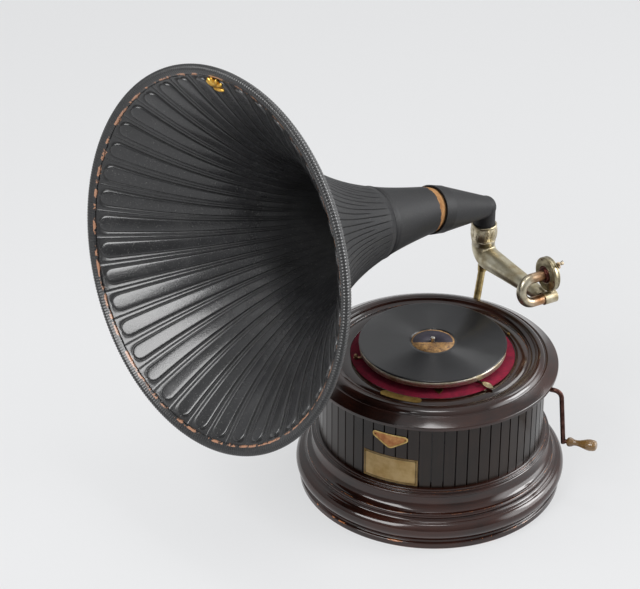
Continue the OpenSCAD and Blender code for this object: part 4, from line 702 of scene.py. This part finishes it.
# soundbox: turned shell with a hub, a bright stepped ring and screws in its flange
sound = {"r": 30, "depth": 13, "bore": 7.5, "hub": 12.6, "screws": 3, "screwAt": 26.2, "screwR": 1.7}
neckFrame = (Matrix.Translation((0, horn["pivotY"] * mm, 0)) @ Matrix.Rotation(math.radians(56.2), 4, "Z") @ Matrix.Translation((0, -0.18, 0.306))
             @ Matrix.Rotation(math.radians(-4), 4, "Z") @ Matrix.Rotation(math.radians(-9), 4, "X"))


def addSoundbox():
    r, d = sound["r"], sound["depth"]
    line = [(sound["bore"], -4), (11.4, -4), (12.2, -3.6), (12.6, -2.8), (12.6, -0.4), (13, 0.9), (15.2, 0.9), (15.6, 0.1), (16.8, -0.1), (17.6, 0.5), (18, 1.2),
            (r - 2, 1.2), (r - 0.9, 1.6), (r, 2.8), (r, d - 3.4), (r - 0.4, d - 3.2), (r - 0.4, d - 2.6), (r, d - 2.4), (r, d - 1.2), (r - 1.2, d),
            (r - 5, d), (r - 5, d - 3), (r - 4, d - 3), (r - 4, 4.5), (sound["bore"], 4.5)]
    mesh = lathe(line, 96)
    field = mesh.verts.layers.float.new("field")
    for v in mesh.verts:
        reach, z = v.co.xy.length / mm, v.co.z / mm
        v[field] = 1.0 if reach < 15.4 and z < 1 else 0.0
    for i in range(sound["screws"]):
        turn = 2 * math.pi * (i + 0.35) / sound["screws"]
        at = Matrix.Translation((sound["screwAt"] * math.cos(turn) * mm, sound["screwAt"] * math.sin(turn) * mm, 1.1 * mm))
        head = bmesh.ops.create_uvsphere(mesh, u_segments=16, v_segments=8, radius=sound["screwR"] * mm, matrix=at @ Matrix.Diagonal((1, 1, 0.5, 1)))
        for v in head["verts"]:
            v[field] = 1.0
    return mesh


place("soundboxShell", addSoundbox(), "gooseneck", "soundbox_body", "copper_nickel", neckFrame @ Matrix.Translation((-1 * mm, 0, 43 * mm))
      @ Matrix.Rotation(math.radians(90), 4, "Y"), look="sound_metal")
print("soundbox made")

# CAD pieces that keep their solids get their finish, a few of them one of their own
ownFinish = {"horn_elbow": "dull_horn", "gooseneck_tube": "neck_metal", "tone_arm_tube": "arm_metal"}
for entry in frame["record"]["subparts"]:
    shown = frame["nodes"][entry["node"]]
    shown.data.materials.clear()
    shown.data.materials.append(finish[ownFinish.get(entry["node"], entry["material_slot"])])

# floor and light
sweep, tree, shader = newMaterial("paperSweep")
shader.inputs["Base Color"].default_value = linear("#727273")
shader.inputs["Emission Color"].default_value = linear("#f4f5f6")
shader.inputs["Emission Strength"].default_value = 0.66
shader.inputs["Roughness"].default_value = 0.9
mesh = bmesh.new()
bmesh.ops.create_grid(mesh, x_segments=2, y_segments=2, size=14.0)
data = bpy.data.meshes.new("floor")
mesh.to_mesh(data)
mesh.free()
floor = bpy.data.objects.new("floor", data)
floor.location = (0, 0, -0.0004)
bpy.context.scene.collection.objects.link(floor)
data.materials.append(sweep)

lamps = {"key": ((-1.1, -2.55, 2.55), 2.1, 118.0), "top": ((0.1, -0.1, 3.0), 0.6, 11.0), "back": ((0.9, 2.4, 2.6), 1.2, 20.0),
         "side": ((2.4, 1.2, 1.7), 1.2, 42.0)}
for name, (spot, size, power) in lamps.items():
    lamp = bpy.data.lights.new(name, "AREA")
    lamp.shape = "SQUARE"
    lamp.size = size
    lamp.energy = power
    shown = bpy.data.objects.new(name, lamp)
    shown.location = spot
    shown.rotation_mode = "QUATERNION"
    shown.rotation_quaternion = (Vector((-0.05, 0, 0.3)) - Vector(spot)).to_track_quat("-Z", "Y")
    bpy.context.scene.collection.objects.link(shown)

world = bpy.data.worlds.new("room")
world.use_nodes = True
bpy.context.scene.world = world
tree = world.node_tree
rays = addNode(tree, "ShaderNodeLightPath")
toward = addNode(tree, "ShaderNodeTexCoord").outputs["Generated"]
level = addNode(tree, "ShaderNodeVectorMath", {"operation": "DOT_PRODUCT", 1: (0.0, 0.15, 0.4)}, {0: toward})
gloss = addNode(tree, "ShaderNodeMath", {"operation": "ADD", 1: 0.4, "use_clamp": True}, {0: level.outputs["Value"]})
window = addNode(tree, "ShaderNodeVectorMath", {"operation": "DOT_PRODUCT", 1: (0.88, 0.4, 0.26)}, {0: toward})
pane = addNode(tree, "ShaderNodeMapRange", {"From Min": 0.82, "From Max": 0.93, "To Min": 0.0, "To Max": 4.0}, {"Value": window.outputs["Value"]})
lit = addNode(tree, "ShaderNodeMath", {"operation": "ADD"}, {0: gloss.outputs[0], 1: pane.outputs[0]})
shine = addNode(tree, "ShaderNodeMix", {"data_type": "FLOAT", 2: 0.32}, {"Factor": rays.outputs["Is Glossy Ray"], 3: lit.outputs[0]})
seen = addNode(tree, "ShaderNodeMath", {"operation": "MAXIMUM"}, {0: rays.outputs["Is Camera Ray"], 1: rays.outputs["Is Transmission Ray"]})
strength = addNode(tree, "ShaderNodeMix", {"data_type": "FLOAT", 3: 0.86}, {"Factor": seen.outputs[0], 2: shine.outputs[0]})
tree.nodes["Background"].inputs["Color"].default_value = (0.95, 0.96, 0.97, 1)
tree.links.new(strength.outputs[0], tree.nodes["Background"].inputs["Strength"])
print("floor and light made")
